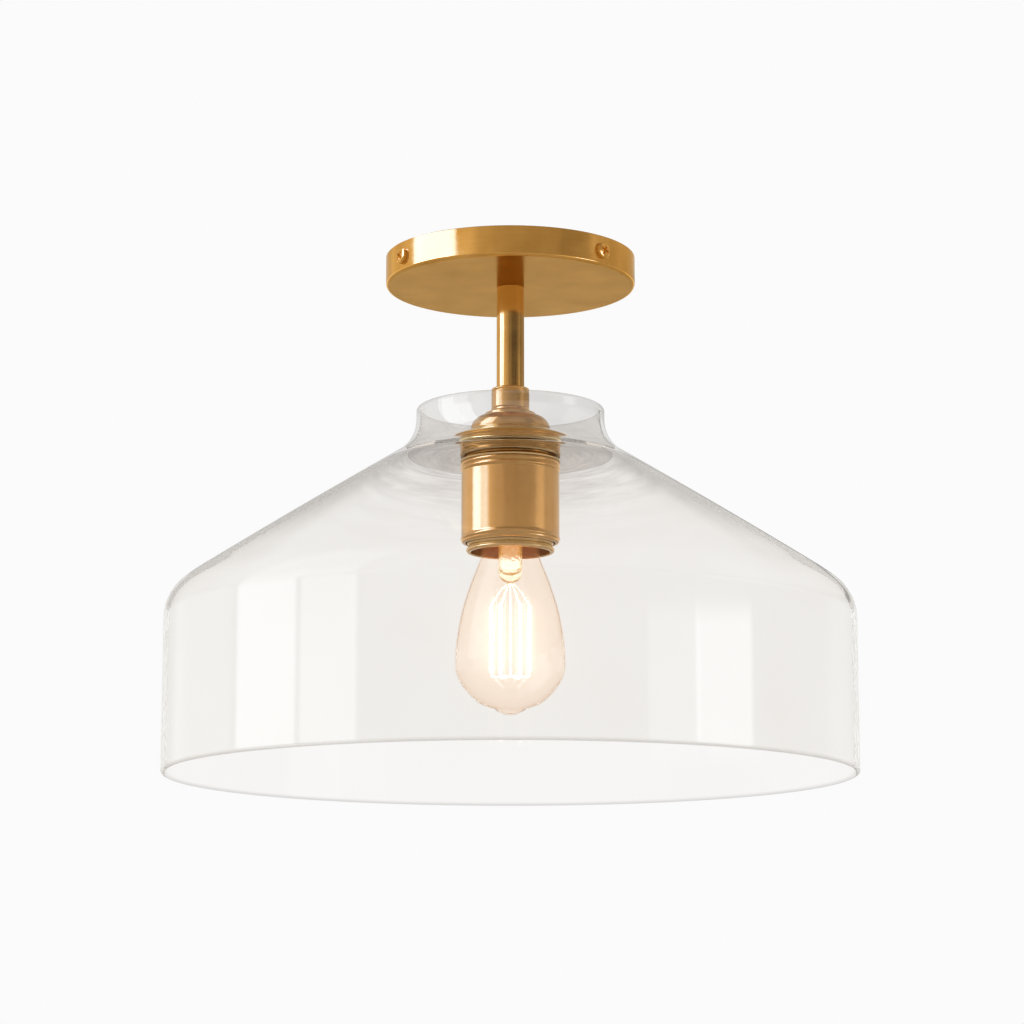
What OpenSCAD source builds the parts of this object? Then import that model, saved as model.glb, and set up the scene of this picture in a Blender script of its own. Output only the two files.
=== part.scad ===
// Semi-flush ceiling light: a shallow canopy, a short stem, a screw-base lamp holder
// and a clear glass dome that is open at its neck and at its rim.
// The origin is the centre of the ceiling plane. The light hangs below it.

/* [Canopy] */
// Outer diameter of the canopy
canopy_d = 131; // [118:1:160]
// Depth of the canopy, from the ceiling to its underside
canopy_h = 15.8; // [15.4:0.2:26]
// Sheet thickness of the canopy
canopy_wall = 1.2; // [0.8:0.1:1.8]
// Radius of the canopy's lower outer edge
canopy_edge_r = 1.6; // [1:0.1:3]
// Height of the side screws below the ceiling
side_screw_drop = 7.9; // [7:0.1:9]
// Shank diameter of the side screws
side_screw_d = 4; // [3:0.5:5]
// Length of the side screws' shanks
side_screw_len = 8; // [6:0.5:12]
// Head diameter of the side screws
side_head_d = 8.4; // [7:0.1:10]
// Head height of the side screws
side_head_h = 2.7; // [2:0.1:3.4]
// Angle of the left side screw, from the front
left_screw_angle = -58; // [-75:1:-40]
// Angle of the right side screw, from the front
right_screw_angle = 46; // [35:1:75]
// Angle of the rear side screw, from the front
rear_screw_angle = 174; // [160:1:190]

/* [Mounting plate] */
// Width of metal beyond the ends of the two slots
plate_margin = 5.2; // [4:0.1:8]
// Sheet thickness of the plate and its tabs
plate_t = 1.6; // [1.2:0.1:2]
// Width of the three arms and their tabs
tab_w = 20; // [14:1:24]
// Height of the tabs, from the ceiling
tab_h = 12.6; // [12:0.1:13.4]
// Diameter of the wire hole at the plate's centre
wire_hole_d = 32; // [24:1:40]
// Spacing of the two box-screw slots
slot_spacing = 79.4; // [76:0.1:82]
// Length of each slot, end to end
slot_len = 14.3; // [10:0.1:18]
// Width of each slot
slot_w = 4.8; // [4.4:0.1:5.4]
// Distance of the ground screw from the centre
ground_screw_y = 36; // [30:1:42]

/* [Stem] */
// Outer diameter of the threaded pipe
pipe_d = 9.7; // [9:0.1:10.2]
// Bore of the threaded pipe
pipe_bore_d = 6.8; // [6:0.1:7.4]
// Length of pipe above the canopy nut
pipe_end_top = 2.3; // [1:0.1:4]
// Length of pipe below the sleeve nut
pipe_end_low = 0.4; // [0.3:0.1:0.8]
// Outer diameter of the stem tube
stem_d = 14.5; // [13.5:0.1:17]
// Bore of the stem tube
stem_bore_d = 11.6; // [10.8:0.1:12.4]
// Length of the stem tube
stem_len = 54.5; // [30:0.5:120]
// Outer diameter of the collar under the stem
collar_d = 20; // [18:0.1:22]
// Height of the collar
collar_h = 10.9; // [8:0.1:16]
// Height of the bead at the collar's top
collar_bead_h = 1.6; // [1:0.1:2.4]
// Depth of the groove under that bead
collar_groove = 0.55; // [0.3:0.05:0.8]
// Height of that groove
collar_groove_h = 0.8; // [0.4:0.1:1.2]
// Distance that the bead stands out from the collar's body
collar_bead_out = 0.1; // [0.05:0.05:0.4]
// Bevel of the collar's and the cap's turned edges
turned_bevel = 0.3; // [0.1:0.05:0.5]

/* [Nuts and washers] */
// Width across the flats of the pipe nuts
nut_af = 14; // [13:0.5:16]
// Height of the canopy nut
canopy_nut_h = 4; // [3:0.1:4.2]
// Height of the sleeve nut
sleeve_nut_h = 2.6; // [2.2:0.1:3]
// Diameter of the washers
washer_d = 18; // [16:0.5:22]
// Thickness of the washers
washer_t = 0.8; // [0.5:0.1:1]

/* [Socket cap and flange] */
// Sheet thickness of the socket cap
cap_wall = 1; // [0.7:0.1:1.3]
// Height of the coved shoulder at the cap's top
cap_cove_h = 2.5; // [1.8:0.1:3.5]
// Width of that cove, beyond the collar
cap_cove_w = 3.3; // [2.5:0.1:4]
// Height of the plain step under the cove
cap_step_h = 1.4; // [1:0.1:2.2]
// Radius of the cap's dome
cap_dome_r = 7.35; // [6:0.05:8]
// Height of the plain band under the dome
cap_band_h = 0.6; // [0.3:0.1:2]
// Width of the flange's flared lip, beyond its foot
flange_lip_w = 3.1; // [1.5:0.1:6]
// Width of the bare top between the cap and the flare
flange_land_w = 0.4; // [0.2:0.1:0.8]
// Depth of the hollow in the lip's upper face
flange_hollow = 0.35; // [0.1:0.05:0.5]
// Drop from the flange's top to the edge of its lip
flange_drop = 4.2; // [3:0.1:5]
// Thickness of the lip at its edge
flange_edge_t = 1.1; // [0.8:0.1:1.5]
// Bevel of the flange's foot
flange_foot_bevel = 0.2; // [0.1:0.05:0.4]
// Number of grooves around the flange's barrel
flange_grooves = 3; // [2:1:4]
// Depth of those grooves
flange_groove_depth = 0.6; // [0.3:0.05:0.8]
// Height of the flange, from its top to its foot
flange_h = 12.3; // [11.4:0.1:13.7]
// Thickness of the flange's inner plate
flange_plate_t = 2.7; // [2.5:0.1:3]

/* [Glass shade] */
// Diameter of the glass at its rim
glass_d = 356; // [320:1:400]
// Thickness of the glass wall
glass_t = 2.8; // [2.4:0.1:3.6]
// Height of the straight wall above the rim
glass_wall_h = 79.3; // [50:0.5:100]
// Radius of the shoulder
shoulder_r = 22; // [16:0.5:26]
// Angle of arc that the shoulder turns through
shoulder_turn = 50; // [45:1:52]
// Radius of the softer bend that follows the shoulder
shoulder_blend_r = 60; // [40:1:80]
// Slope of the cone, from level
cone_slope = 32.6; // [30:0.1:35]
// Bend of the slightly crowned cone, end to end, in degrees
cone_crown = 1.8; // [0.5:0.1:3]
// Diameter of the neck
neck_d = 98.1; // [92:0.1:106]
// Radius of the fillet between neck and cone
neck_fillet_r = 22.5; // [18:0.5:26]
// Height of the neck's straight stretch
neck_h = 5.6; // [3:0.1:10]
// Depth of the web's upper face below the neck's top
web_drop = 24.9; // [23:0.1:26]
// Thickness of the web
web_t = 3.1; // [2.6:0.1:3.6]
// Width of the two gaskets
gasket_w = 1.5; // [1:0.1:1.7]
// Thickness of the two gaskets
gasket_t = 0.8; // [0.5:0.1:1.2]

/* [Skirt] */
// Height of the skirt
skirt_h = 41.7; // [36:0.1:41.9]
// Sheet thickness of the skirt
skirt_wall = 0.8; // [0.7:0.05:0.9]
// Number of grip beads
grip_beads = 2; // [1:1:3]
// Pitch of the grip beads
grip_pitch = 2.6; // [2:0.1:3.4]
// Height of the grip beads
grip_h = 0.5; // [0.3:0.05:0.7]
// Height of the bead near the skirt's lower edge
skirt_bead_h = 0.45; // [0.2:0.05:0.8]
// Width of that bead
skirt_bead_w = 2.4; // [1.6:0.1:3.2]
// Height of the plain band between that bead and the rounded lower edge
skirt_bead_up = 0.1; // [0.1:0.1:3]
// Radius of the lower edge
skirt_edge_r = 1.3; // [1:0.1:1.4]

/* [Skirt thread] */
// Pitch of the thread between skirt and sleeve
skirt_pitch = 3; // [2.5:0.1:3.5]
// Number of turns that the skirt's thread has
skirt_turns = 4; // [3:1:4]
// Thickness of the turned ring under the sleeve's thread
sleeve_ring_t = 0.5; // [0.3:0.05:0.8]
// Thickness of the turned ring behind the skirt's thread
skirt_ring_t = 0.45; // [0.3:0.05:0.8]
// Distance of the skirt's thread from the skirt's top
skirt_thread_in = 1.6; // [1:0.1:3]
// Length of the sleeve's thread beyond the skirt's
sleeve_thread_extra = 0.3; // [0.2:0.1:2]
// Depth of the thread
skirt_thread_depth = 0.9; // [0.7:0.05:1]
// Radial clearance between the two threads
skirt_thread_clear = 0.4; // [0.3:0.02:0.44]

/* [Sleeve] */
// Sheet thickness of the sleeve
sleeve_wall = 0.8; // [0.7:0.05:1]
// Thickness of the sleeve's top plate
sleeve_plate_t = 1.2; // [1:0.1:1.6]
// Depth of the step from the sleeve to its lower neck
sleeve_neck_in = 0.8; // [0.4:0.05:1]
// Height of the sleeve's lower neck
sleeve_neck_h = 7; // [6:0.1:9]
// Height of the bead on the lower neck
neck_bead_h = 0.85; // [0.4:0.05:1]
// Width of that bead
neck_bead_w = 2; // [1.2:0.1:2.4]
// Distance that the rolled lip stands out from the sleeve
lip_out = 0.5; // [0.2:0.05:0.6]
// Height of the rolled lip
lip_h = 2.6; // [2:0.1:3.4]
// Reach of the sleeve's lip below the skirt
mouth_drop = 5.3; // [4:0.1:7]

/* [Lamp holder] */
// Diameter of the porcelain body
holder_d = 40; // [39:0.1:40.4]
// Height of the porcelain body
holder_h = 37; // [34:0.5:40]
// Height of the room for the leads, between the pipe and the body
wiring_room = 4; // [3.8:0.1:6]
// Diameter of the posts
post_d = 5.6; // [5:0.1:5.8]
// Radius of the body's edges
holder_edge_r = 1.2; // [0.6:0.1:1.6]
// Depth of the body's floor above the cavity
holder_floor = 3.4; // [3:0.1:4.5]
// Diameter of the two long holder screws
holder_screw_d = 3; // [2.5:0.1:3.2]
// Distance of the terminal screws from the body's edge
terminal_in = 3.4; // [3.2:0.1:3.8]
// Depth of the terminal screws' holes
terminal_hole_h = 6; // [5:0.1:7]
// Diameter of the terminal screws
terminal_screw_d = 3.2; // [2.8:0.1:3.4]
// Head diameter of the terminal screws
terminal_head_d = 5.8; // [5:0.1:6.2]
// Head height of the small screws
small_head_h = 1.6; // [1.2:0.1:2]
// Thickness of the contact brass
contact_t = 0.6; // [0.4:0.05:0.7]
// Width of the contact strips
contact_w = 5; // [4:0.1:6]
// Sheet thickness of the screw shell
shell_t = 0.4; // [0.3:0.05:0.45]
// Plain height of the screw shell above its thread
shell_rim_h = 2; // [1:0.1:3]
// Distance of the shell's lower end above the foot of the bulb's base
shell_short = 2.3; // [2:0.1:4]
// Drop of the centre contact's leaf
leaf_drop = 1.7; // [1.2:0.1:2.4]
// Half of the leaf's flat end
leaf_end = 1.8; // [1.4:0.1:2.4]
// Distance of the leaf's rivet from the axis
rivet_y = 7; // [6:0.1:8]
// Diameter of that rivet
rivet_d = 2.6; // [2:0.1:3]

/* [Bulb] */
// Pitch of the bulb's thread
bulb_pitch = 3.629; // [3.5:0.001:3.7]
// Crest diameter of the bulb's thread
bulb_thread_d = 26; // [25.8:0.05:26.1]
// Depth of the bulb's thread
bulb_thread_depth = 1.3; // [1:0.05:1.4]
// Plain height of the base between its thread and its upper edge
base_lead_in = 1.4; // [1:0.1:2]
// Height of the base's flared foot
base_foot_h = 4; // [3.6:0.1:4.6]
// Radial clearance between the bulb's thread and the shell's
bulb_thread_clear = 0.35; // [0.3:0.01:0.4]
// Length of the bulb's threaded base
base_len = 22.5; // [21:0.1:24]
// Height of the black insulator
insulator_h = 2.6; // [2:0.1:3.4]
// Diameter of the bulb's centre contact
tip_d = 9.4; // [8:0.1:10]
// Height of the bulb's centre contact
tip_h = 1; // [0.6:0.1:1.4]
// Widest diameter of the bulb
bulb_d = 57.2; // [54:0.1:64]
// Length of the bulb's glass below its base
bulb_glass_len = 105; // [95:0.5:115]
// Thickness of the bulb's glass
bulb_wall = 0.8; // [0.6:0.1:1]
// Distance that the bulb's neck stands out from its thread
bulb_neck_out = 0.3; // [0.2:0.05:0.6]
// Length of the bulb's neck
bulb_neck_len = 26; // [24:0.5:30]
// Radial gap between the bulb's glass and the inside of its base
base_gap = 0.4; // [0.2:0.05:0.5]
// Reach of the bulb's glass up into its base
bulb_seat_h = 9; // [7:0.5:11]
// Diameter of the glass mount inside the bulb
mount_d = 12.4; // [11:0.1:14]
// Length of the glass mount below the base
mount_len = 36; // [30:0.5:40]
// Distance of the filaments below the mount
filament_drop = 12; // [8:0.5:14]
// Distance of the wire star below the filaments
star_drop = 2.6; // [2:0.1:4]
// Number of light filaments
filament_count = 6; // [4:1:8]
// Length of each filament
filament_len = 35; // [30:0.5:38]
// Width of each filament
filament_w = 1.7; // [1.2:0.1:2.2]
// Thickness of each filament
filament_t = 0.8; // [0.5:0.1:1]
// Distance of the filaments from the axis
filament_ring_r = 10; // [8:0.1:12]
// Diameter of the support wires
support_wire_d = 0.7; // [0.5:0.1:1]

/* [Leads] */
// Outer diameter of the insulated leads
lead_d = 2; // [1.8:0.1:2.2]
// Diameter of the stripped ends
strip_d = 0.9; // [0.7:0.1:1]
// Length of bare wire beyond each screw's head
bare_len = 1.2; // [1:0.1:2]
// Distance between the two leads in the pipe
lead_gap = 0.6; // [0.2:0.1:1]
// Diameter of the wire nuts at their mouths
wire_nut_d = 9.6; // [8.5:0.1:10]
// Length of the wire nuts
wire_nut_len = 20; // [16:0.5:24]
// Distance of the wire nuts from the centre line
wire_nut_y = 18; // [16:0.5:22]
// Distance of the wire nuts' mouths from the stem
wire_nut_x = 20; // [16:0.5:24]

/* [Fits] */
// Radial clearance of the porcelain body in the sleeve
holder_clear = 1.65; // [1.2:0.05:2]
// Radial clearance of the porcelain body in the sleeve's mouth
mouth_clear = 0.6; // [0.3:0.05:0.8]
// Radial clearance of the screw shell in the porcelain body
shell_clear = 0.25; // [0.15:0.05:0.4]
// Radial clearance of the glass web around the sleeve's thread
web_clear = 0.45; // [0.3:0.05:0.8]
// Distance of the gaskets from the edges that they seat on
gasket_edge = 0.1; // [0.05:0.05:0.3]
// Radial clearance of plain holes on the threaded pipe
pipe_clear = 0.25; // [0.15:0.05:0.4]
// Radial clearance of tapped holes on their screws
tapped_clear = 0.05; // [0.03:0.01:0.1]
// Gap of loose pieces, as of a lead in its wire nut
loose_gap = 0.2; // [0.1:0.05:0.4]
// Radial clearance of plain holes on screws
screw_clear = 0.3; // [0.2:0.05:0.5]
// Clearance of the tabs inside the canopy
tab_clear = 0.2; // [0.1:0.05:0.4]
// Gap between the bulb's contact and the contact leaf
contact_gap = 0.3; // [0.2:0.05:0.4]
// Gap between pieces that lie against each other
rest_gap = 0.05; // [0.02:0.01:0.08]

/* [Hidden] */
$fn = 96;
// Reach of each cut past the faces that it opens
over = 1;
// Length and width of a screw's slot as shares of its head, and the height of its floor
slot_len_share = 0.62;
slot_w_share = 0.14;
slot_floor = 0.45;
// Share of a screw head's height that its rim has
head_rim = 0.3;
// Steps around the skirt's and the bulb's threads
skirt_steps = 36;
bulb_steps = 24;

screw_angles = [left_screw_angle, right_screw_angle, rear_screw_angle];
canopy_r = canopy_d / 2;
tab_r = canopy_r - canopy_wall - tab_clear;
plate_r = (slot_spacing + slot_len) / 2 + plate_margin;
pipe_r = pipe_d / 2;
pipe_hole_r = pipe_r + pipe_clear;
tapped_pipe_r = pipe_r + tapped_clear;
side_tapped_r = side_screw_d / 2 + tapped_clear;
collar_r = collar_d / 2;
cap_step_r = collar_r + cap_cove_w;
cap_r = cap_step_r + cap_dome_r;

// Heights of the stack that the threaded pipe clamps, from the ceiling down
z_canopy = -canopy_h;
z_canopy_floor = z_canopy + canopy_wall;
z_washer = z_canopy_floor + washer_t;
z_nut = z_washer + canopy_nut_h;
z_pipe_top = z_nut + pipe_end_top;
z_stem = z_canopy - stem_len;
z_collar = z_stem - collar_h;
z_cap = z_collar - cap_cove_h - cap_step_h - cap_dome_r - cap_band_h;
z_flange_plate = z_cap - flange_plate_t;
z_flange_foot = z_cap - flange_h;
z_sleeve_plate = z_flange_plate - sleeve_plate_t;
z_low_washer = z_sleeve_plate - washer_t;
z_low_nut = z_low_washer - sleeve_nut_h;
z_pipe_low = z_low_nut - pipe_end_low;
z_holder = z_pipe_low - wiring_room;

// Heights of the shade's clamp
z_web = z_flange_foot - gasket_t;
z_web_low = z_web - web_t;
z_skirt = z_web_low - gasket_t;
z_skirt_low = z_skirt - skirt_h;
z_mouth = z_skirt_low - mouth_drop;
z_neck = z_mouth + sleeve_neck_h;

// Radii outwards from the porcelain body: sleeve, threads, skirt, hole in the web, flange
holder_r = holder_d / 2;
sleeve_bore_r = holder_r + holder_clear;
sleeve_r = sleeve_bore_r + sleeve_wall;
sleeve_root_r = sleeve_r + sleeve_ring_t;
sleeve_crest_r = sleeve_root_r + skirt_thread_depth;
skirt_crest_r = sleeve_root_r + skirt_thread_clear;
skirt_root_r = sleeve_crest_r + skirt_thread_clear;
skirt_in_r = skirt_root_r + skirt_ring_t;
skirt_r = skirt_in_r + skirt_wall;
web_hole_r = sleeve_crest_r + web_clear;
gasket_in_r = web_hole_r + gasket_edge;
gasket_out_r = gasket_in_r + gasket_w;
flange_foot_r = gasket_out_r + gasket_edge;
flange_lip_r = flange_foot_r + flange_lip_w;

// Profile of the glass, all as radius and height
glass_r = glass_d / 2;
neck_r = neck_d / 2;
z_neck_top = z_web + web_drop;
fillet_c = [neck_r + neck_fillet_r, z_neck_top - neck_h];
cone_in = cone_slope - cone_crown / 2;
cone_out = cone_slope + cone_crown / 2;
cone_start = fillet_c - neck_fillet_r * [sin(cone_in), cos(cone_in)];
// The shoulder's arcs, first as offsets from the rim's radius
blend_from = shoulder_r * [cos(shoulder_turn), sin(shoulder_turn)] - [shoulder_r, 0];
blend_c = blend_from - shoulder_blend_r * [cos(shoulder_turn), sin(shoulder_turn)];
blend_to = blend_c + shoulder_blend_r * [sin(cone_out), cos(cone_out)];
cone_end_r = glass_r + blend_to[0];
z_cone_end = cone_start[1] - (cone_end_r - cone_start[0]) * tan(cone_slope);
z_wall_top = z_cone_end - blend_to[1];
z_rim = z_wall_top - glass_wall_h;
cone_chord = norm([cone_end_r, z_cone_end] - cone_start);
cone_r = cone_chord / (2 * sin(cone_crown / 2));
cone_c = cone_start - cone_r * [sin(cone_in), cos(cone_in)];

// Threads
z_skirt_thread = z_skirt - skirt_thread_in;
z_skirt_thread_low = z_skirt_thread - skirt_turns * skirt_pitch;

bulb_crest_r = bulb_thread_d / 2;
bulb_root_r = bulb_crest_r - bulb_thread_depth;
shell_root_r = bulb_crest_r + bulb_thread_clear;

// Lamp holder
z_holder_low = z_holder - holder_h;
z_cavity = z_holder - holder_floor;
z_shell = z_cavity - shell_t;
z_leaf = z_cavity - contact_t;
cavity_r = shell_root_r + shell_t + shell_clear;
post_x = (cavity_r + holder_r) / 2;
terminal_y = holder_r - terminal_in;
holder_hole_r = holder_screw_d / 2 + tapped_clear;
terminal_hole_r = terminal_screw_d / 2 + tapped_clear;
z_plates = z_holder + contact_t;
// The strap's outer corners stay inside the flats of the round shell
strap_y = sqrt((shell_root_r * cos(180 / bulb_steps) - rest_gap) ^ 2 - (contact_w / 2) ^ 2) - contact_t;
z_wire = z_plates + strip_d / 2 + rest_gap;
z_terminal_head = z_wire + strip_d / 2 + rest_gap;

// Bulb
z_tip = z_leaf - leaf_drop - contact_gap;
z_insulator = z_tip - tip_h;
z_base = z_insulator - insulator_h;
z_base_low = z_base - base_len;
z_bulb_low = z_base_low - bulb_glass_len;
z_shell_low = z_base_low + shell_short;
z_bulb_seat = z_base_low + bulb_seat_h;
bulb_neck_r = bulb_crest_r + bulb_neck_out;
bulb_seat_r = bulb_root_r - 1.5 * bulb_wall;
z_mount_low = z_base_low - mount_len;
z_filament = z_mount_low - filament_drop;
z_filament_low = z_filament - filament_len;
z_star = z_filament_low - star_drop;

// Leads
z_nuts = (z_canopy_floor - plate_t) / 2;
lead_side = (lead_d + lead_gap) / 2;

function unit(v) = v / norm(v);
function arc(c, r, a0, a1, n) =
    [for (i = [0:n]) let (a = a0 + (a1 - a0) * i / n) c + r * [cos(a), sin(a)]];
// A smooth curve through the points p, with n steps for each stretch
function spline(p, n) = [
    for (i = [0:len(p) - 2], j = [0:n - 1])
        let (a = p[max(i - 1, 0)], b = p[i], c = p[i + 1], d = p[min(i + 2, len(p) - 1)], t = j / n)
            0.5 * (2 * b + (c - a) * t + (2 * a - 5 * b + 4 * c - d) * t ^ 2
                + (3 * b - a - 3 * c + d) * t ^ 3),
    p[len(p) - 1]];
// An outline moved sideways by t, point by point
function inset(p, t) = [
    for (i = [0:len(p) - 1])
        let (d = unit(p[min(i + 1, len(p) - 1)] - p[max(i - 1, 0)])) p[i] + t * [-d[1], d[0]]];
function reversed(p) = [for (i = [len(p) - 1:-1:0]) p[i]];

// Share of a thread's depth at a height and an angle, fading out at both of its ends
function ridge(z, a, pitch, z0, z1) =
    (0.5 + 0.5 * cos(360 * z / pitch - a)) * fade(z, pitch, z0, z1);
function furrow(z, a, pitch, z0, z1) =
    (0.5 - 0.5 * cos(360 * z / pitch - a)) * fade(z, pitch, z0, z1);
function fade(z, pitch, z0, z1) =
    max(0, min(1, (z0 - z) / (pitch / 2), (z - z1) / (pitch / 2)));
function thread_rows(z0, z1, pitch) =
    let (n = round(5 * (z0 - z1) / pitch)) [for (i = [0:n]) z0 + (z1 - z0) * i / n];

// A closed ring whose section is a loop of radius and height that may change with the angle
module turned_loop(section, steps) {
    loops = [for (k = [0:steps - 1]) section(360 * k / steps)];
    n = len(loops[0]);
    points = [
        for (k = [0:steps - 1], p = loops[k])
            let (a = 360 * k / steps) [p[0] * cos(a), p[0] * sin(a), p[1]]];
    faces = [
        for (k = [0:steps - 1], i = [0:n - 1])
            let (k2 = (k + 1) % steps, i2 = (i + 1) % n)
                each [[k * n + i, k2 * n + i, k2 * n + i2], [k * n + i, k2 * n + i2, k * n + i2]]];
    polyhedron(points, faces);
}

// A round wire along a path, with its own radius at each ring
module swept_wire(path, radii, sides) {
    last = len(path) - 1;
    tangents = [for (i = [0:last]) unit(path[min(i + 1, last)] - path[max(i - 1, 0)])];
    start = abs(tangents[0][2]) > 0.9 ? [1, 0, 0] : [0, 0, 1];
    normals = carried(tangents, 0, start);
    points = [
        for (i = [0:last], k = [0:sides - 1])
            let (a = 360 * k / sides, n = normals[i], b = cross(tangents[i], n))
                path[i] + radii[i] * (cos(a) * n + sin(a) * b)];
    walls = [
        for (i = [0:last - 1], k = [0:sides - 1])
            let (k2 = (k + 1) % sides, a = i * sides, b = a + sides)
                each [[a + k, b + k, b + k2], [a + k, b + k2, a + k2]]];
    ends = [[for (k = [0:sides - 1]) k], [for (k = [sides - 1:-1:0]) last * sides + k]];
    polyhedron(points, concat(walls, ends));
}
function carried(t, i, n) =
    i == len(t) ? [] : let (m = unit(n - (n * t[i]) * t[i])) concat([m], carried(t, i + 1, m));

module ring(r_out, r_in, z_top, z_low) {
    translate([0, 0, z_low]) difference() {
        cylinder(r = r_out, h = z_top - z_low);
        translate([0, 0, -over]) cylinder(r = r_in, h = z_top - z_low + 2 * over);
    }
}

// A screw with its head above the plane z = 0 and its shank below it
module screw(d, length, head_d, head_h, cross_slot) {
    cut_l = slot_len_share * head_d;
    cut_w = slot_w_share * head_d;
    difference() {
        union() {
            translate([0, 0, -length]) cylinder(d = d, h = length + head_h / 4);
            rotate_extrude() polygon(concat([[0, 0], [head_d / 2, 0]],
                [for (i = [0:8]) let (a = i * 90 / 8)
                    [head_d / 2 * cos(a), head_h * (head_rim + (1 - head_rim) * sin(a))]]));
        }
        for (a = cross_slot ? [0, 90] : [0])
            rotate([0, 0, a]) translate([-cut_l / 2, -cut_w / 2, slot_floor * head_h])
                cube([cut_l, cut_w, head_h]);
    }
}

module pipe_nut(h) {
    difference() {
        cylinder(d = nut_af / cos(30), h = h, $fn = 6);
        translate([0, 0, -over]) cylinder(r = tapped_pipe_r, h = h + 2 * over);
    }
}

module mounting_plate() {
    cut_h = plate_t + 2 * over;
    color("lightgray") difference() {
        union() {
            translate([0, 0, -plate_t]) cylinder(r = plate_r, h = plate_t);
            for (a = screw_angles) rotate([0, 0, a]) plate_arm();
        }
        translate([0, 0, -plate_t - over]) cylinder(d = wire_hole_d, h = cut_h);
        for (s = [-1, 1]) translate([s * slot_spacing / 2, 0, -plate_t - over]) slot(cut_h);
        translate([0, -ground_screw_y, -plate_t - over]) cylinder(r = side_tapped_r, h = cut_h);
        for (a = screw_angles) rotate([0, 0, a]) translate([0, -tab_r + plate_t + over, -side_screw_drop])
            rotate([90, 0, 0]) cylinder(r = side_tapped_r, h = cut_h);
    }
}
// An arm of the plate with its tab, which is bent down along the canopy's wall
module plate_arm() {
    intersection() {
        translate([0, 0, -tab_h]) cylinder(r = tab_r, h = tab_h);
        difference() {
            translate([-tab_w / 2, -tab_r, -tab_h]) cube([tab_w, tab_r - plate_r / 2, tab_h]);
            translate([0, 0, -tab_h - plate_t]) cylinder(r = tab_r - plate_t, h = tab_h);
        }
    }
}
module slot(h) {
    straight = slot_len - slot_w;
    translate([-straight / 2, -slot_w / 2, 0]) cube([straight, slot_w, h]);
    for (s = [-1, 1]) translate([s * straight / 2, 0, 0]) cylinder(d = slot_w, h = h);
}

module ground_screw() {
    lift = strip_d + 2 * rest_gap;
    color("seagreen") translate([0, -ground_screw_y, -plate_t - lift]) rotate([180, 0, 0])
        screw(side_screw_d, plate_t + lift, side_head_d, small_head_h, false);
}

module canopy() {
    inner_r = canopy_r - canopy_wall;
    bend = max(canopy_edge_r - canopy_wall, canopy_wall / 6);
    edge_c = [canopy_r - canopy_edge_r, z_canopy + canopy_edge_r];
    bend_c = [inner_r - bend, z_canopy_floor + bend];
    color("goldenrod") difference() {
        rotate_extrude() polygon(concat(
            [[pipe_hole_r, z_canopy]],
            arc(edge_c, canopy_edge_r, -90, 0, 6),
            [[canopy_r, 0], [inner_r, 0]],
            arc(bend_c, bend, 0, -90, 4),
            [[pipe_hole_r, z_canopy_floor]]));
        for (a = screw_angles) rotate([0, 0, a]) translate([0, -inner_r + over, -side_screw_drop])
            rotate([90, 0, 0]) cylinder(r = side_screw_d / 2 + screw_clear, h = canopy_wall + 2 * over);
    }
}

module canopy_screws() {
    color("goldenrod") for (a = screw_angles)
        rotate([0, 0, a]) translate([0, -canopy_r - rest_gap / 2, -side_screw_drop]) rotate([90, 0, 0])
            screw(side_screw_d, side_screw_len, side_head_d, side_head_h, true);
}

module stem_pipe() {
    color("silver") ring(pipe_r, pipe_bore_d / 2, z_pipe_top, z_pipe_low);
}

module canopy_washer() {
    color("silver") ring(washer_d / 2, pipe_hole_r, z_washer, z_canopy_floor);
}

module canopy_nut() {
    color("silver") translate([0, 0, z_washer]) pipe_nut(canopy_nut_h);
}

module stem_tube() {
    color("goldenrod") ring(stem_d / 2, stem_bore_d / 2, z_canopy, z_stem);
}

module collar() {
    bead_r = collar_bead_h / 2;
    bead_low = z_stem - collar_bead_h;
    groove_r = collar_r - collar_groove;
    body_r = collar_r - collar_bead_out;
    color("goldenrod") rotate_extrude() polygon(concat(
        [[pipe_hole_r, z_stem]],
        arc([collar_r - bead_r, z_stem - bead_r], bead_r, 90, -60, 8),
        [[groove_r, bead_low], [groove_r, bead_low - collar_groove_h / 2],
         [body_r, bead_low - collar_groove_h], [body_r, z_collar + turned_bevel],
         [body_r - turned_bevel, z_collar], [pipe_hole_r, z_collar]]));
}

module socket_cap() {
    z_cove = z_collar - cap_cove_h;
    z_dome = z_cove - cap_step_h;
    cove_c = [cap_step_r, z_collar];
    dome_c = [cap_step_r, z_cap + cap_band_h];
    cove_turn = asin(min(1, cap_cove_h / cap_cove_w));
    color("goldenrod") rotate_extrude() polygon(concat(
        [[pipe_hole_r, z_collar]],
        arc(cove_c, cap_cove_w, 180, 180 + cove_turn, 5),
        [[cap_step_r - turned_bevel, z_cove], [cap_step_r, z_cove - turned_bevel]],
        arc(dome_c, cap_dome_r, 90, 0, 10),
        [[cap_r, z_cap], [cap_r - cap_wall, z_cap]],
        arc(dome_c, cap_dome_r - cap_wall, 0, 90, 8),
        [[cap_step_r - cap_wall, z_dome - cap_wall], [cap_step_r - cap_wall, z_cove - cap_wall]],
        arc(cove_c, cap_cove_w + cap_wall, 180 + cove_turn, 180 + asin(cap_wall / (cap_cove_w + cap_wall)), 4),
        [[pipe_hole_r, z_collar - cap_wall]]));
}

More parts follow.
